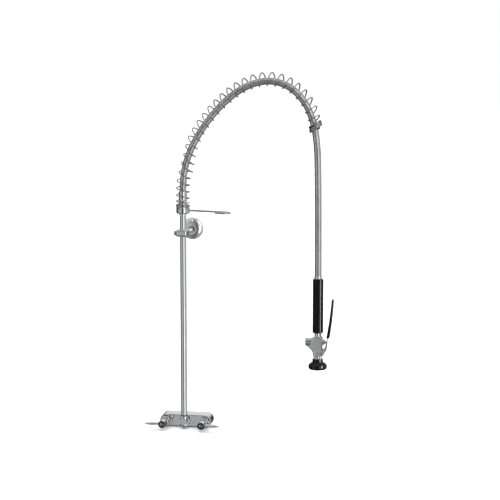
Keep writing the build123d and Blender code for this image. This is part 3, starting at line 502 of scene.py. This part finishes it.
# round bodies melted into the casting, from end to end as (x, y, height) and the radius:
# barrel, lower neck, its shoulder, upper neck and pin boss
CAST_RODS = [
    ((-0.0270, 0, CAST_BARREL_Z), (0.0100, 0, CAST_BARREL_Z), CAST_BARREL_RADIUS),
    ((0, 0, 0.1482), (0, 0, 0.1700), 0.0075),
    ((0, 0, 0.1536), (0, 0, 0.1860), 0.0098),
    ((0, 0, 0.2050), (0, 0, 0.2340), 0.0083),
    ((PIN_X, -PIN_BOSS_HALF, PIN_Z), (PIN_X, PIN_BOSS_HALF, PIN_Z), PIN_BOSS_RADIUS),
]
# what is bored out of it, in the same way: the plug's seat, the valve's port and chamber, the lower
# and upper passages, the room for the cheeks and the hole for the pin
CAST_BORES = [
    ((-0.0300, 0, BARREL_Z), (-0.0060, 0, BARREL_Z), 0.0068),
    ((-0.0065, 0, BARREL_Z), (-0.0020, 0, BARREL_Z), 0.0036),
    ((-0.0030, 0, BARREL_Z), (0.0130, 0, BARREL_Z), 0.0050),
    ((0, 0, 0.1470), (0, 0, 0.2000), 0.0036),
    ((0, 0, 0.2130), (0, 0, 0.2360), 0.0045),
    ((PIN_X, -PAST_BOSS, PIN_Z), (PIN_X, -PIN_BOSS_HALF, PIN_Z), CHEEK_CLEARANCE),
    ((PIN_X, PIN_BOSS_HALF, PIN_Z), (PIN_X, PAST_BOSS, PIN_Z), CHEEK_CLEARANCE),
    ((PIN_X, -PAST_FRONT, PIN_Z), (PIN_X, PAST_FRONT, PIN_Z), PIN_HOLE),
]
for dimple_x, dimple_z in DIMPLES:
    CAST_BORES.append(((dimple_x, -PAST_FRONT, dimple_z), (dimple_x, -DIMPLE_END, dimple_z), DIMPLE_RADIUS))

# the body's layers, thin to thick: half the thickness, then the outline of (x, height)
CAST_LAYERS = [
    (
        0.0062,
        [
            (-0.0094, 0.1540),
            (-0.0098, 0.1583),
            (-0.0104, 0.1630),
            (-0.0114, 0.1687),
            (-0.0127, 0.1735),
            (-0.0145, 0.1777),
            (-0.0178, 0.1815),
            (-0.0218, 0.1848),
            (-0.0252, 0.1880),
            (-0.0272, 0.1910),
            (-0.0272, 0.2085),
            (-0.0140, 0.2098),
            (-0.0100, 0.2120),
            (-0.0080, 0.2150),
            (0.0088, 0.2142),
            (0.0112, 0.2110),
            (0.0130, 0.2070),
            (0.0130, 0.1860),
            (0.0098, 0.1770),
            (0.0093, 0.1540),
        ],
    ),
    (
        0.0088,
        [
            (-0.0076, 0.1570),
            (-0.0084, 0.1630),
            (-0.0094, 0.1700),
            (-0.0110, 0.1765),
            (-0.0138, 0.1812),
            (-0.0176, 0.1855),
            (-0.0205, 0.1900),
            (-0.0205, 0.1960),
            (-0.0180, 0.2040),
            (-0.0140, 0.2085),
            (-0.0094, 0.2118),
            (0.0088, 0.2138),
            (0.0112, 0.2108),
            (0.0130, 0.2070),
            (0.0130, 0.1860),
            (0.0080, 0.1760),
            (0.0060, 0.1570),
        ],
    ),
    (
        0.0104,
        [
            (-0.0050, 0.1650),
            (-0.0062, 0.1700),
            (-0.0080, 0.1765),
            (-0.0108, 0.1818),
            (-0.0140, 0.1866),
            (-0.0160, 0.1915),
            (-0.0158, 0.1985),
            (-0.0140, 0.2045),
            (-0.0105, 0.2090),
            (-0.0060, 0.2115),
            (0.0070, 0.2125),
            (0.0112, 0.2095),
            (0.0130, 0.2060),
            (0.0130, 0.1820),
            (0.0050, 0.1780),
            (0.0010, 0.1650),
        ],
    ),
]


def spray_place(x, y, z):
    """A place on the spray valve, from its axis and datum."""
    return SPRAY_X + x, RISER_Y + y, SPRAY_DATUM + z


def cheek_groove(side):
    """The groove in one side of the casting, round the end of the lever's cheek."""
    outline = []
    for reach, angles in (
        (CHEEK_CLEARANCE, CHEEK_GROOVE_OUTSIDE),
        (PIN_BOSS_RADIUS + CHEEK_GROOVE_GAP, CHEEK_GROOVE_INSIDE),
    ):
        for angle in angles:
            turn = math.radians(angle)
            x = SPRAY_X + PIN_X + reach * math.cos(turn)
            z = SPRAY_DATUM + PIN_Z + reach * math.sin(turn)
            outline.append((x, z))
    low, high = sorted((side * CHEEK_GROOVE_HALF, side * PAST_BOSS))
    return prism(outline, RISER_Y + low, RISER_Y + high)


def cut_away(piece, body):
    """Takes a closed body out of a piece."""
    cutter = gathered("cutter", [body])
    cut = piece.modifiers.new("cut", "BOOLEAN")
    cut.operation = "DIFFERENCE"
    cut.object = cutter
    cut.solver = "EXACT"
    applied(piece)
    bpy.data.objects.remove(cutter)


# the casting's right side, seen from above: x and y from the valve's axis
RIGHT_SIDE = [
    (0.0104, -0.0125),
    (0.0122, 0.0),
    (0.0104, 0.0125),
    (0.0200, 0.0125),
    (0.0200, -0.0125),
]
RIGHT_SIDE_LOW = 0.1790
RIGHT_SIDE_HIGH = 0.2160


def beyond_right_side():
    """What lies beyond the casting's drafted right side."""
    low, high = SPRAY_DATUM + RIGHT_SIDE_LOW, SPRAY_DATUM + RIGHT_SIDE_HIGH
    outline = [(SPRAY_X + x, RISER_Y + y) for x, y in RIGHT_SIDE]
    places, faces = prism(outline, low, high)
    return [(x, y, z) for x, z, y in places], faces


def spray_casting():
    """The spray valve's cast body: a flat-fronted plate with its barrel, necks and pin boss."""
    bodies = []
    for half, outline in CAST_LAYERS:
        placed = [(SPRAY_X + x, SPRAY_DATUM + z) for x, z in outline]
        bodies.append(prism(placed, RISER_Y - half, RISER_Y + half))
    for start, end, radius in CAST_RODS:
        bodies.append(rod(spray_place(*start), spray_place(*end), radius))
    piece = gathered("spray_casting", bodies)
    melted(piece, CAST_GRAIN, CAST_ROUNDS)
    for start, end, radius in CAST_BORES:
        cut_away(piece, rod(spray_place(*start), spray_place(*end), radius))
    for side in (-1, 1):
        cut_away(piece, cheek_groove(side))
    cut_away(piece, beyond_right_side())
    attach(piece, "spray_valve")
    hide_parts("spray_body")
    return piece


CAP_PLACE = (-0.0271, 0, CAST_BARREL_Z)
CAP_RADIUS = CAST_BARREL_RADIUS - 0.0001
CAP_ROUND = 0.0042
CAP_SWEEP = 76
CAP_STEPS = 12
CAP_FRONT = 0.0041
# distance from the barrel's axis and length past the barrel's end
CAP_NECK = [
    (0.0, -0.0020),
    (0.0049, -0.0020),
    (0.0049, -0.0055),
    (0.0067, -0.0055),
    (0.0067, 0.0001),
    (CAST_BARREL_RADIUS - 0.0006, 0.0001),
    (CAP_RADIUS, 0.0004),
]
CAP_TIP = [(0.0030, CAP_FRONT + 0.0002), (0.0, CAP_FRONT + 0.0003)]


def cast_cap():
    """The rounded plug over the rear end of the spray valve's barrel."""
    rounded = []
    for step in range(CAP_STEPS + 1):
        angle = math.radians(CAP_SWEEP * step / CAP_STEPS)
        reach = CAP_RADIUS - CAP_ROUND + CAP_ROUND * math.cos(angle)
        along = CAP_FRONT - CAP_ROUND + CAP_ROUND * math.sin(angle)
        rounded.append((reach, along))
    profile = CAP_NECK + rounded + CAP_TIP
    piece = turned("cast_cap", profile, spray_place(*CAP_PLACE), (-1, 0, 0))
    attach(piece, "spray_valve")
    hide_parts("rear_cap")
    return piece


# distance from the axis and height above the spray valve's datum
BUMPER_PROFILE = [
    (0.0111, 0.1577),
    (0.0124, 0.1576),
    (0.0130, 0.1570),
    (0.0132, 0.1562),
    (0.0132, 0.1515),
    (0.0134, 0.1502),
    (0.0140, 0.1492),
    (0.0151, 0.1482),
    (0.0172, 0.1472),
    (0.0192, 0.1460),
    (0.0200, 0.1453),
    (0.0204, 0.1446),
    (0.0211, 0.1443),
    (0.0219, 0.1433),
    (0.0227, 0.1418),
    (0.0232, 0.1398),
    (0.0233, 0.1378),
    (0.0231, 0.1356),
    (0.0225, 0.1338),
    (0.0216, 0.1324),
    (0.0204, 0.1314),
    (0.0190, 0.1310),
    (0.0178, 0.1310),
    (0.0168, 0.1314),
    (0.0162, 0.1322),
    (0.0160, 0.1332),
    (0.0160, 0.1348),
    (0.0182, 0.1348),
    (0.0182, 0.1401),
    (0.0111, 0.1476),
]


def bumper():
    """The moulded rubber ring round the spray head."""
    piece = turned("moulded_bumper", BUMPER_PROFILE, (SPRAY_X, RISER_Y, SPRAY_DATUM), (0, 0, 1))
    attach(piece, "spray_valve")
    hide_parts("rubber_bumper")
    return piece


# distance from the hub's axis and depth in front of the back face
INDEX_PROFILE = [
    (0.0047, 0.0857),
    (0.0073, 0.0857),
    (0.0073, 0.0881),
    (0.0091, 0.0881),
    (0.0093, 0.0883),
    (0.0092, 0.0887),
    (0.0086, 0.0891),
    (0.0064, 0.0892),
    (0.0054, 0.0889),
    (0.0048, 0.0883),
]
SCREW_PROFILE = [
    (0.0, 0.0690),
    (0.0016, 0.0690),
    (0.0016, 0.0857),
    (0.0045, 0.0857),
    (0.0045, 0.0880),
    (0.0042, 0.0887),
    (0.0032, 0.0891),
    (0.0021, 0.0893),
    (0.0020, 0.0890),
    (0.0020, 0.0876),
    (0.0, 0.0876),
]
# a dark plug filling the screw's socket: painted shade for the socket's recess
SOCKET_SHADE_PROFILE = [
    (0.0, 0.0876),
    (0.0019, 0.0876),
    (0.0019, 0.0887),
    (0.0016, 0.0889),
    (0.0, 0.0889),
]


def hub_pieces(side):
    """The index ring, screw and a dark plug in the screw's socket, painted shade for the socket's recess, in the
    front of one handle's hub, with their slots.
    """
    low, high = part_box(side + "_index_ring")
    origin = ((low[0] + high[0]) / 2, 0.0, (low[2] + high[2]) / 2)
    made = []
    for name, profile, node_name, slot in (
        ("index_cap", INDEX_PROFILE, "_index_ring", side + "_mark"),
        ("hub_screw", SCREW_PROFILE, "_handle_screw", "chrome"),
        # painted shade: a dark plug in the screw's socket
        ("socket_shade_plug", SOCKET_SHADE_PROFILE, None, "seal_rubber"),
    ):
        piece = turned(side + "_" + name, profile, origin, (0, -1, 0), HUB_SIDES)
        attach(piece, side + "_handle")
        if node_name:
            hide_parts(side + node_name)
        made.append((piece, slot))
    return made


# how far the guide's end stands before the bend
GUIDE_GAP = 0.001
# distance from the hose's line and length back from the guide's end
GUIDE_PROFILE = [
    (0.0090, 0.0),
    (0.0112, 0.0),
    (0.0124, 0.0005),
    (0.0131, 0.0014),
    (0.0134, 0.0028),
    (0.0134, 0.0088),
    (0.0130, 0.0104),
    (0.0121, 0.0114),
    (0.0108, 0.0118),
    (0.0090, 0.0118),
]


def end_guide():
    """The moulded ring that keeps the spring's end round the hose."""
    place, way = hose_line.at(hose_line.nearest(swing_place) - GUIDE_GAP)
    piece = turned("moulded_guide", GUIDE_PROFILE, place, -way)
    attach(piece, "arch")
    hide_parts("spring_end_guide")
    return piece


VALVE_SPRING_TURNS = 6
VALVE_SPRING_RADIUS = 0.0039
VALVE_WIRE_RADIUS = 0.00045
VALVE_WIRE_SIDES = 10


def valve_spring():
    """The coil spring behind the valve's disc, which the plunger shortens as it comes back; it is built at one
    length, with a mesh of its own.
    """
    low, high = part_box("valve_spring")
    start = low[0] + VALVE_WIRE_RADIUS
    length = high[0] - low[0] - 2 * VALVE_WIRE_RADIUS
    steps = VALVE_SPRING_TURNS * STEPS_PER_TURN
    points = []
    for step in range(steps + 1):
        angle = 2 * math.pi * step / STEPS_PER_TURN
        x = start + length * step / steps
        y = RISER_Y + VALVE_SPRING_RADIUS * math.cos(angle)
        z = SPRAY_DATUM + BARREL_Z + VALVE_SPRING_RADIUS * math.sin(angle)
        points.append(Vector((x, y, z)))
    piece = wire("coiled_valve_spring", points, VALVE_WIRE_RADIUS, VALVE_WIRE_SIDES)
    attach(piece, "spray_valve")
    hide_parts("valve_spring")
    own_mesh(piece)
    return piece


# the dark ring at the riser's foot, painted shade for the shadow line where the riser enters the elbow: distance
# out from the riser and height above the elbow
SHADE_RING_PROFILE = [
    (0.00005, 0.00005),
    (0.0012, 0.00005),
    (0.0016, 0.0004),
    (0.0016, 0.0014),
    (0.0011, 0.0020),
    (0.00005, 0.0022),
]


def riser_shade_ring():
    """A black ring between the foot of the riser and the elbow: painted shade for the shadow line where the riser
    enters it.
    """
    riser_low, riser_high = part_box("riser")
    elbow_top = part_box("elbow")[1][2]
    reach = (riser_high[0] - riser_low[0]) / 2
    profile = [(reach + out, elbow_top + up) for out, up in SHADE_RING_PROFILE]
    piece = turned("riser_shade_ring", profile, (0.0, RISER_Y, 0.0), (0, 0, 1))
    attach(piece, "faucet")
    return piece


casting = spray_casting()
rear_dome = cast_cap()
bumper_ring = bumper()
spring_guide = end_guide()
hub_set = hub_pieces("hot") + hub_pieces("cold")
plunger_spring = valve_spring()
foot_shade_ring = riser_shade_ring()

# ---------------------------------------------------------------- materials

# noise patterns: scale over metres, detail and roughness
METAL_CLOUD = (34.0, 4.0, 0.6)
METAL_SMEAR = (90.0, 5.0, 0.65)
PLASTIC_CLOUD = (60.0, 4.0, 0.6)
PLASTIC_SMEAR = (160.0, 4.0, 0.6)
FLOOR_CLOUD = (3.0, 3.0, 0.5)
# grain: detail and roughness
METAL_GRAIN = (2.0, 0.5)
PLASTIC_GRAIN = (3.0, 0.6)
METAL_RELIEF = 0.00002
RELIEF_STRENGTH = 0.5
# the part of the noise's values that is used
NOISE_LOW = 0.3
NOISE_HIGH = 0.7


def node(tree, kind, place, **settings):
    """A shader node with its settings."""
    made = tree.nodes.new(kind)
    made.location = place
    for name, value in settings.items():
        setattr(made, name, value)
    return made


def new_material(name):
    """An empty material with its shader and the object's own coordinates."""
    material = bpy.data.materials.new(name)
    material.use_nodes = True
    tree = material.node_tree
    shader = tree.nodes["Principled BSDF"]
    coordinates = node(tree, "ShaderNodeTexCoord", (-1200, 0))
    return material, tree, shader, coordinates.outputs["Object"]


def noise(tree, vector, pattern, place):
    """Noise in a pattern of scale, detail and roughness."""
    scale, detail, roughness = pattern
    made = node(tree, "ShaderNodeTexNoise", place)
    made.inputs["Scale"].default_value = scale
    made.inputs["Detail"].default_value = detail
    made.inputs["Roughness"].default_value = roughness
    tree.links.new(vector, made.inputs["Vector"])
    return made.outputs["Fac"]


def spread(tree, value, low, high):
    """The noise's middle range spread from low to high."""
    made = node(tree, "ShaderNodeMapRange", (-600, 0))
    made.inputs["From Min"].default_value = NOISE_LOW
    made.inputs["From Max"].default_value = NOISE_HIGH
    made.inputs["To Min"].default_value = low
    made.inputs["To Max"].default_value = high
    tree.links.new(value, made.inputs["Value"])
    return made.outputs["Result"]


def two_tones(tree, value, dark, light):
    """A colour between two tones."""
    made = node(tree, "ShaderNodeValToRGB", (-600, 200))
    made.color_ramp.elements[0].position = NOISE_LOW
    made.color_ramp.elements[1].position = NOISE_HIGH
    made.color_ramp.elements[0].color = (*dark, 1.0)
    made.color_ramp.elements[1].color = (*light, 1.0)
    tree.links.new(value, made.inputs["Fac"])
    return made.outputs["Color"]


def relief(tree, shader, value, depth):
    """Fine relief from a value, this deep in metres."""
    made = node(tree, "ShaderNodeBump", (-300, -300))
    made.inputs["Distance"].default_value = depth
    made.inputs["Strength"].default_value = RELIEF_STRENGTH
    tree.links.new(value, made.inputs["Height"])
    tree.links.new(made.outputs["Normal"], shader.inputs["Normal"])


def stretched(tree, vector, scales):
    """Coordinates scaled differently each way, for grain with a direction."""
    made = node(tree, "ShaderNodeMapping", (-1050, -200))
    made.inputs["Scale"].default_value = scales
    tree.links.new(vector, made.inputs["Vector"])
    return made.outputs["Vector"]


def metal(name, dark, light, smooth, rough, grain=420.0, grain_scales=(1.0, 1.0, 1.0)):
    """Metal with faint cloudiness, wiping marks and a fine grain."""
    material, tree, shader, vector = new_material(name)
    shader.inputs["Metallic"].default_value = 1.0
    cloud = noise(tree, vector, METAL_CLOUD, (-900, 200))
    tree.links.new(two_tones(tree, cloud, dark, light), shader.inputs["Base Color"])
    smear = noise(tree, vector, METAL_SMEAR, (-900, 0))
    tree.links.new(spread(tree, smear, smooth, rough), shader.inputs["Roughness"])
    brushed = stretched(tree, vector, grain_scales)
    fine = noise(tree, brushed, (grain, *METAL_GRAIN), (-900, -300))
    relief(tree, shader, fine, METAL_RELIEF)
    return material


def plastic(name, dark, light, smooth, rough, grain, depth, specular=0.5):
    """Moulded plastic or rubber with a fine surface grain."""
    material, tree, shader, vector = new_material(name)
    shader.inputs["Specular IOR Level"].default_value = specular
    cloud = noise(tree, vector, PLASTIC_CLOUD, (-900, 200))
    tree.links.new(two_tones(tree, cloud, dark, light), shader.inputs["Base Color"])
    smear = noise(tree, vector, PLASTIC_SMEAR, (-900, 0))
    tree.links.new(spread(tree, smear, smooth, rough), shader.inputs["Roughness"])
    fine = noise(tree, vector, (grain, *PLASTIC_GRAIN), (-900, -300))
    relief(tree, shader, fine, depth)
    return material


def grey(level, tint=0.0):
    """A grey with a slight blue or warm tint."""
    return (level * (1 - tint), level, level * (1 + tint))


CHROME_TONES = (grey(0.66, 0.01), grey(0.74, 0.01))
RED_TONES = ((0.014, 0.003, 0.003), (0.022, 0.004, 0.004))
BLUE_TONES = ((0.003, 0.004, 0.014), (0.004, 0.006, 0.022))

# dark and light tone, smoothest and roughest, then the grain's scale and its stretch each way
METALS = {
    "chrome": (*CHROME_TONES, 0.07, 0.15),
    "chrome_tube": (*CHROME_TONES, 0.06, 0.13, 300.0, (1.0, 1.0, 0.08)),
    "satin_chrome": (grey(0.82), grey(0.90), 0.18, 0.28, 500.0),
    "steel_hose": (grey(0.46), grey(0.62), 0.13, 0.24, 900.0),
    "spring_steel": (grey(0.42), grey(0.56), 0.10, 0.18, 700.0),
    "steel": (grey(0.52), grey(0.64), 0.16, 0.28, 800.0),
    "brass": ((0.58, 0.43, 0.19), (0.70, 0.54, 0.26), 0.2, 0.34),
}
# dark and light tone, smoothest and roughest, the grain's scale and depth, and how much it reflects
PLASTICS = {
    "ceramic": (grey(0.72), grey(0.80), 0.12, 0.2, 400.0, 0.00001),
    "black_rubber": (grey(0.001), grey(0.004), 0.14, 0.24, 900.0, 0.00003, 0.30),
    # seal_rubber is also the dark finish of the ring at the riser's foot and of the plugs in the hub screws'
    # sockets, both painted shade
    "seal_rubber": (grey(0.018), grey(0.030), 0.5, 0.65, 700.0, 0.00004, 0.4),
    "black_grip": (grey(0.001), grey(0.003), 0.12, 0.20, 700.0, 0.00002, 0.16),
    "black_sleeve": (grey(0.001), grey(0.004), 0.26, 0.38, 900.0, 0.00004, 0.16),
    "hot_mark": (*RED_TONES, 0.25, 0.4, 500.0, 0.00001),
    "cold_mark": (*BLUE_TONES, 0.25, 0.4, 500.0, 0.00001),
}
materials = {name: metal(name, *settings) for name, settings in METALS.items()}
materials.update({name: plastic(name, *settings) for name, settings in PLASTICS.items()})

slot_of = {part["node"]: part["material_slot"] for part in frame["record"]["subparts"]}


def finish_with(piece, material):
    """Gives a piece one material all over."""
    if not piece.material_slots:
        piece.data.materials.append(material)
    for place in piece.material_slots:
        place.material = material


for name, piece in frame["nodes"].items():
    finish_with(piece, materials[slot_of[name]])
for piece, slot in [
    (frame["nodes"]["wall_flange"], "satin_chrome"),
    (hose, "steel_hose"),
    (spring, "spring_steel"),
    (casting, "chrome"),
    (rear_dome, "chrome"),
    (bumper_ring, "black_rubber"),
    (spring_guide, "black_sleeve"),
    (plunger_spring, "steel"),
    # painted shade: the dark ring at the riser's foot
    (foot_shade_ring, "seal_rubber"),
    *hub_set,
]:
    finish_with(piece, materials[slot])

# ---------------------------------------------------------------- floor, surroundings and light

FLOOR_GAP = 0.001
FLOOR_Z = cad_low[2] - FLOOR_GAP
FLOOR_HALF = 30
FLOOR_ROUGHNESS = 0.9
FLOOR_TONES = (grey(0.90), grey(0.92))
FLOOR_CORNERS = [(-1, -1), (1, -1), (1, 1), (-1, 1)]


def floor_material():
    """Pale paper floor."""
    material, tree, shader, vector = new_material("floor")
    shader.inputs["Roughness"].default_value = FLOOR_ROUGHNESS
    cloud = noise(tree, vector, FLOOR_CLOUD, (-900, 200))
    tree.links.new(two_tones(tree, cloud, *FLOOR_TONES), shader.inputs["Base Color"])
    return material


floor = new_piece(
    "floor",
    [(x * FLOOR_HALF, y * FLOOR_HALF, FLOOR_Z) for x, y in FLOOR_CORNERS],
    [(0, 1, 2, 3)],
    smooth=False,
)
floor.data.materials.append(floor_material())
floor.visible_glossy = False

# brightness of the studio that metal reflects, by bearing in degrees from +X towards +Y:
# level with the object, above it and below it
STUDIO_STRENGTH = 2.0
STUDIO_LEVEL = [
    (-180, 0.08),
    (-168, 0.07),
    (-159, 0.55),
    (-98, 0.49),
    (-92, 0.04),
    (-69, 0.04),
    (-62, 2.0),
    (-46, 2.0),
    (-38, 0.55),
    (8, 0.60),
    (20, 0.55),
    (52, 0.50),
    (64, 0.06),
    (180, 0.08),
]
STUDIO_ABOVE = [
    (-180, 0.35),
    (-150, 0.80),
    (-116, 0.42),
    (-104, 0.12),
    (-78, 0.10),
    (-66, 0.36),
    (-56, 1.30),
    (-20, 1.10),
    (10, 0.45),
    (72, 0.50),
    (84, 0.86),
    (108, 0.86),
    (124, 0.20),
    (180, 0.35),
]
STUDIO_BELOW = [
    (-180, 0.20),
    (-150, 0.44),
    (-115, 0.12),
    (-80, 0.12),
    (-50, 0.46),
    (30, 0.36),
    (64, 0.06),
    (180, 0.12),
]
STUDIO_OVERHEAD = 0.66
# the heights between which one part of the studio passes into the next, 1 being straight up
BELOW_TO_LEVEL = (-0.60, -0.34)
LEVEL_TO_ABOVE = (0.06, 0.20)
ABOVE_TO_OVERHEAD = (0.66, 0.86)
# brightness of the even light on matt surfaces
DAYLIGHT = 1.45


def ramp(tree, value, stops, place):
    """Grey levels against a bearing."""
    made = node(tree, "ShaderNodeValToRGB", place)
    elements = made.color_ramp.elements
    while len(elements) < len(stops):
        elements.new(1.0)
    for element, (bearing, _) in zip(elements, stops):
        element.position = (bearing + 180) / 360
    for element, (_, level) in zip(elements, stops):
        element.color = (*grey(level / STUDIO_STRENGTH), 1.0)
    tree.links.new(value, made.inputs["Fac"])
    return made.outputs["Color"]


def blend_by(tree, value, start, end, before, after, place):
    """One colour below a value's start, another above its end."""
    share = node(tree, "ShaderNodeMapRange", place, interpolation_type="SMOOTHSTEP")
    share.inputs["From Min"].default_value = start
    share.inputs["From Max"].default_value = end
    tree.links.new(value, share.inputs["Value"])
    mixed = node(tree, "ShaderNodeMix", (place[0] + 200, place[1]), data_type="RGBA")
    tree.links.new(share.outputs["Result"], mixed.inputs["Factor"])
    for socket, colour in (("A", before), ("B", after)):
        if isinstance(colour, tuple):
            mixed.inputs[socket].default_value = colour
        else:
            tree.links.new(colour, mixed.inputs[socket])
    return mixed.outputs["Result"]


def studio_world():
    """White to the camera, even light on matt surfaces and a studio of panels for glossy ones."""
    world = bpy.data.worlds.new("studio")
    world.use_nodes = True
    tree = world.node_tree
    coordinates = node(tree, "ShaderNodeTexCoord", (-1600, 0))
    parts = node(tree, "ShaderNodeSeparateXYZ", (-1400, 0))
    tree.links.new(coordinates.outputs["Generated"], parts.inputs["Vector"])
    bearing = node(tree, "ShaderNodeMath", (-1200, 100), operation="ARCTAN2")
    tree.links.new(parts.outputs["Y"], bearing.inputs[0])
    tree.links.new(parts.outputs["X"], bearing.inputs[1])
    share = node(tree, "ShaderNodeMapRange", (-1000, 100))
    share.inputs["From Min"].default_value = -math.pi
    share.inputs["From Max"].default_value = math.pi
    tree.links.new(bearing.outputs["Value"], share.inputs["Value"])
    level = ramp(tree, share.outputs["Result"], STUDIO_LEVEL, (-800, 200))
    above = ramp(tree, share.outputs["Result"], STUDIO_ABOVE, (-800, 0))
    below = ramp(tree, share.outputs["Result"], STUDIO_BELOW, (-800, -200))
    overhead = (*grey(STUDIO_OVERHEAD / STUDIO_STRENGTH), 1.0)
    height = parts.outputs["Z"]
    lifted = blend_by(tree, height, *ABOVE_TO_OVERHEAD, above, overhead, (-600, -100))
    upper = blend_by(tree, height, *LEVEL_TO_ABOVE, level, lifted, (-400, 100))
    panels = blend_by(tree, height, *BELOW_TO_LEVEL, below, upper, (-200, 100))
    strong = node(tree, "ShaderNodeVectorMath", (100, 0), operation="SCALE")
    strong.inputs["Scale"].default_value = STUDIO_STRENGTH
    tree.links.new(panels, strong.inputs[0])
    rays = node(tree, "ShaderNodeLightPath", (-200, 400))
    matt = node(tree, "ShaderNodeMix", (100, 300), data_type="RGBA")
    matt.inputs["A"].default_value = (DAYLIGHT, DAYLIGHT, DAYLIGHT, 1.0)
    matt.inputs["B"].default_value = (1.0, 1.0, 1.0, 1.0)
    tree.links.new(rays.outputs["Is Camera Ray"], matt.inputs["Factor"])
    seen = node(tree, "ShaderNodeMix", (300, 0), data_type="RGBA")
    tree.links.new(rays.outputs["Is Glossy Ray"], seen.inputs["Factor"])
    tree.links.new(matt.outputs["Result"], seen.inputs["A"])
    tree.links.new(strong.outputs["Vector"], seen.inputs["B"])
    tree.links.new(seen.outputs["Result"], tree.nodes["Background"].inputs["Color"])
    bpy.context.scene.world = world


studio_world()

middle = (Vector(cad_low) + Vector(cad_high)) / 2


def soft_light(name, place, aim, size, power, seen_in=()):
    """A soft light aimed at a place; only the pieces that it is seen in reflect it."""
    data = bpy.data.lights.new(name, "AREA")
    data.shape = "RECTANGLE"
    data.size, data.size_y = size
    data.energy = power
    light = bpy.data.objects.new(name, data)
    light.location = place
    light.rotation_euler = (Vector(aim) - Vector(place)).to_track_quat("-Z", "Y").to_euler()
    bpy.context.scene.collection.objects.link(light)
    light.visible_glossy = bool(seen_in)
    if seen_in:
        receivers = bpy.data.collections.new(name + "_receivers")
        for piece in seen_in:
            receivers.objects.link(piece)
        light.light_linking.receiver_collection = receivers


black_pieces = [piece for name, piece in frame["nodes"].items() if slot_of[name].startswith("black")]
black_pieces += [bumper_ring, spring_guide]
grip_low, grip_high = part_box("grip_sleeve")
grip_middle = (Vector(grip_low) + Vector(grip_high)) / 2

# place, size and power of the soft lights; the strips' places are from the middle of the grip
ROOM_LIGHTS = {
    "key_light": ((2.0, -2.2, 2.4), (1.4, 1.4), 16.0),
    "top_light": ((-0.6, 0.4, 3.0), (1.8, 1.8), 22.0),
}
GRIP_LIGHTS = {
    "strip_light": ((1.08, -0.53, 0.05), (0.20, 1.2), 30.0),
    "overhead_strip": ((-0.10, 0.42, 1.30), (0.6, 0.5), 9.0),
}
for name, (place, size, power) in ROOM_LIGHTS.items():
    soft_light(name, place, middle, size, power)
for name, (place, size, power) in GRIP_LIGHTS.items():
    soft_light(name, grip_middle + Vector(place), grip_middle, size, power, black_pieces)

bpy.context.scene.view_settings.view_transform = "Standard"
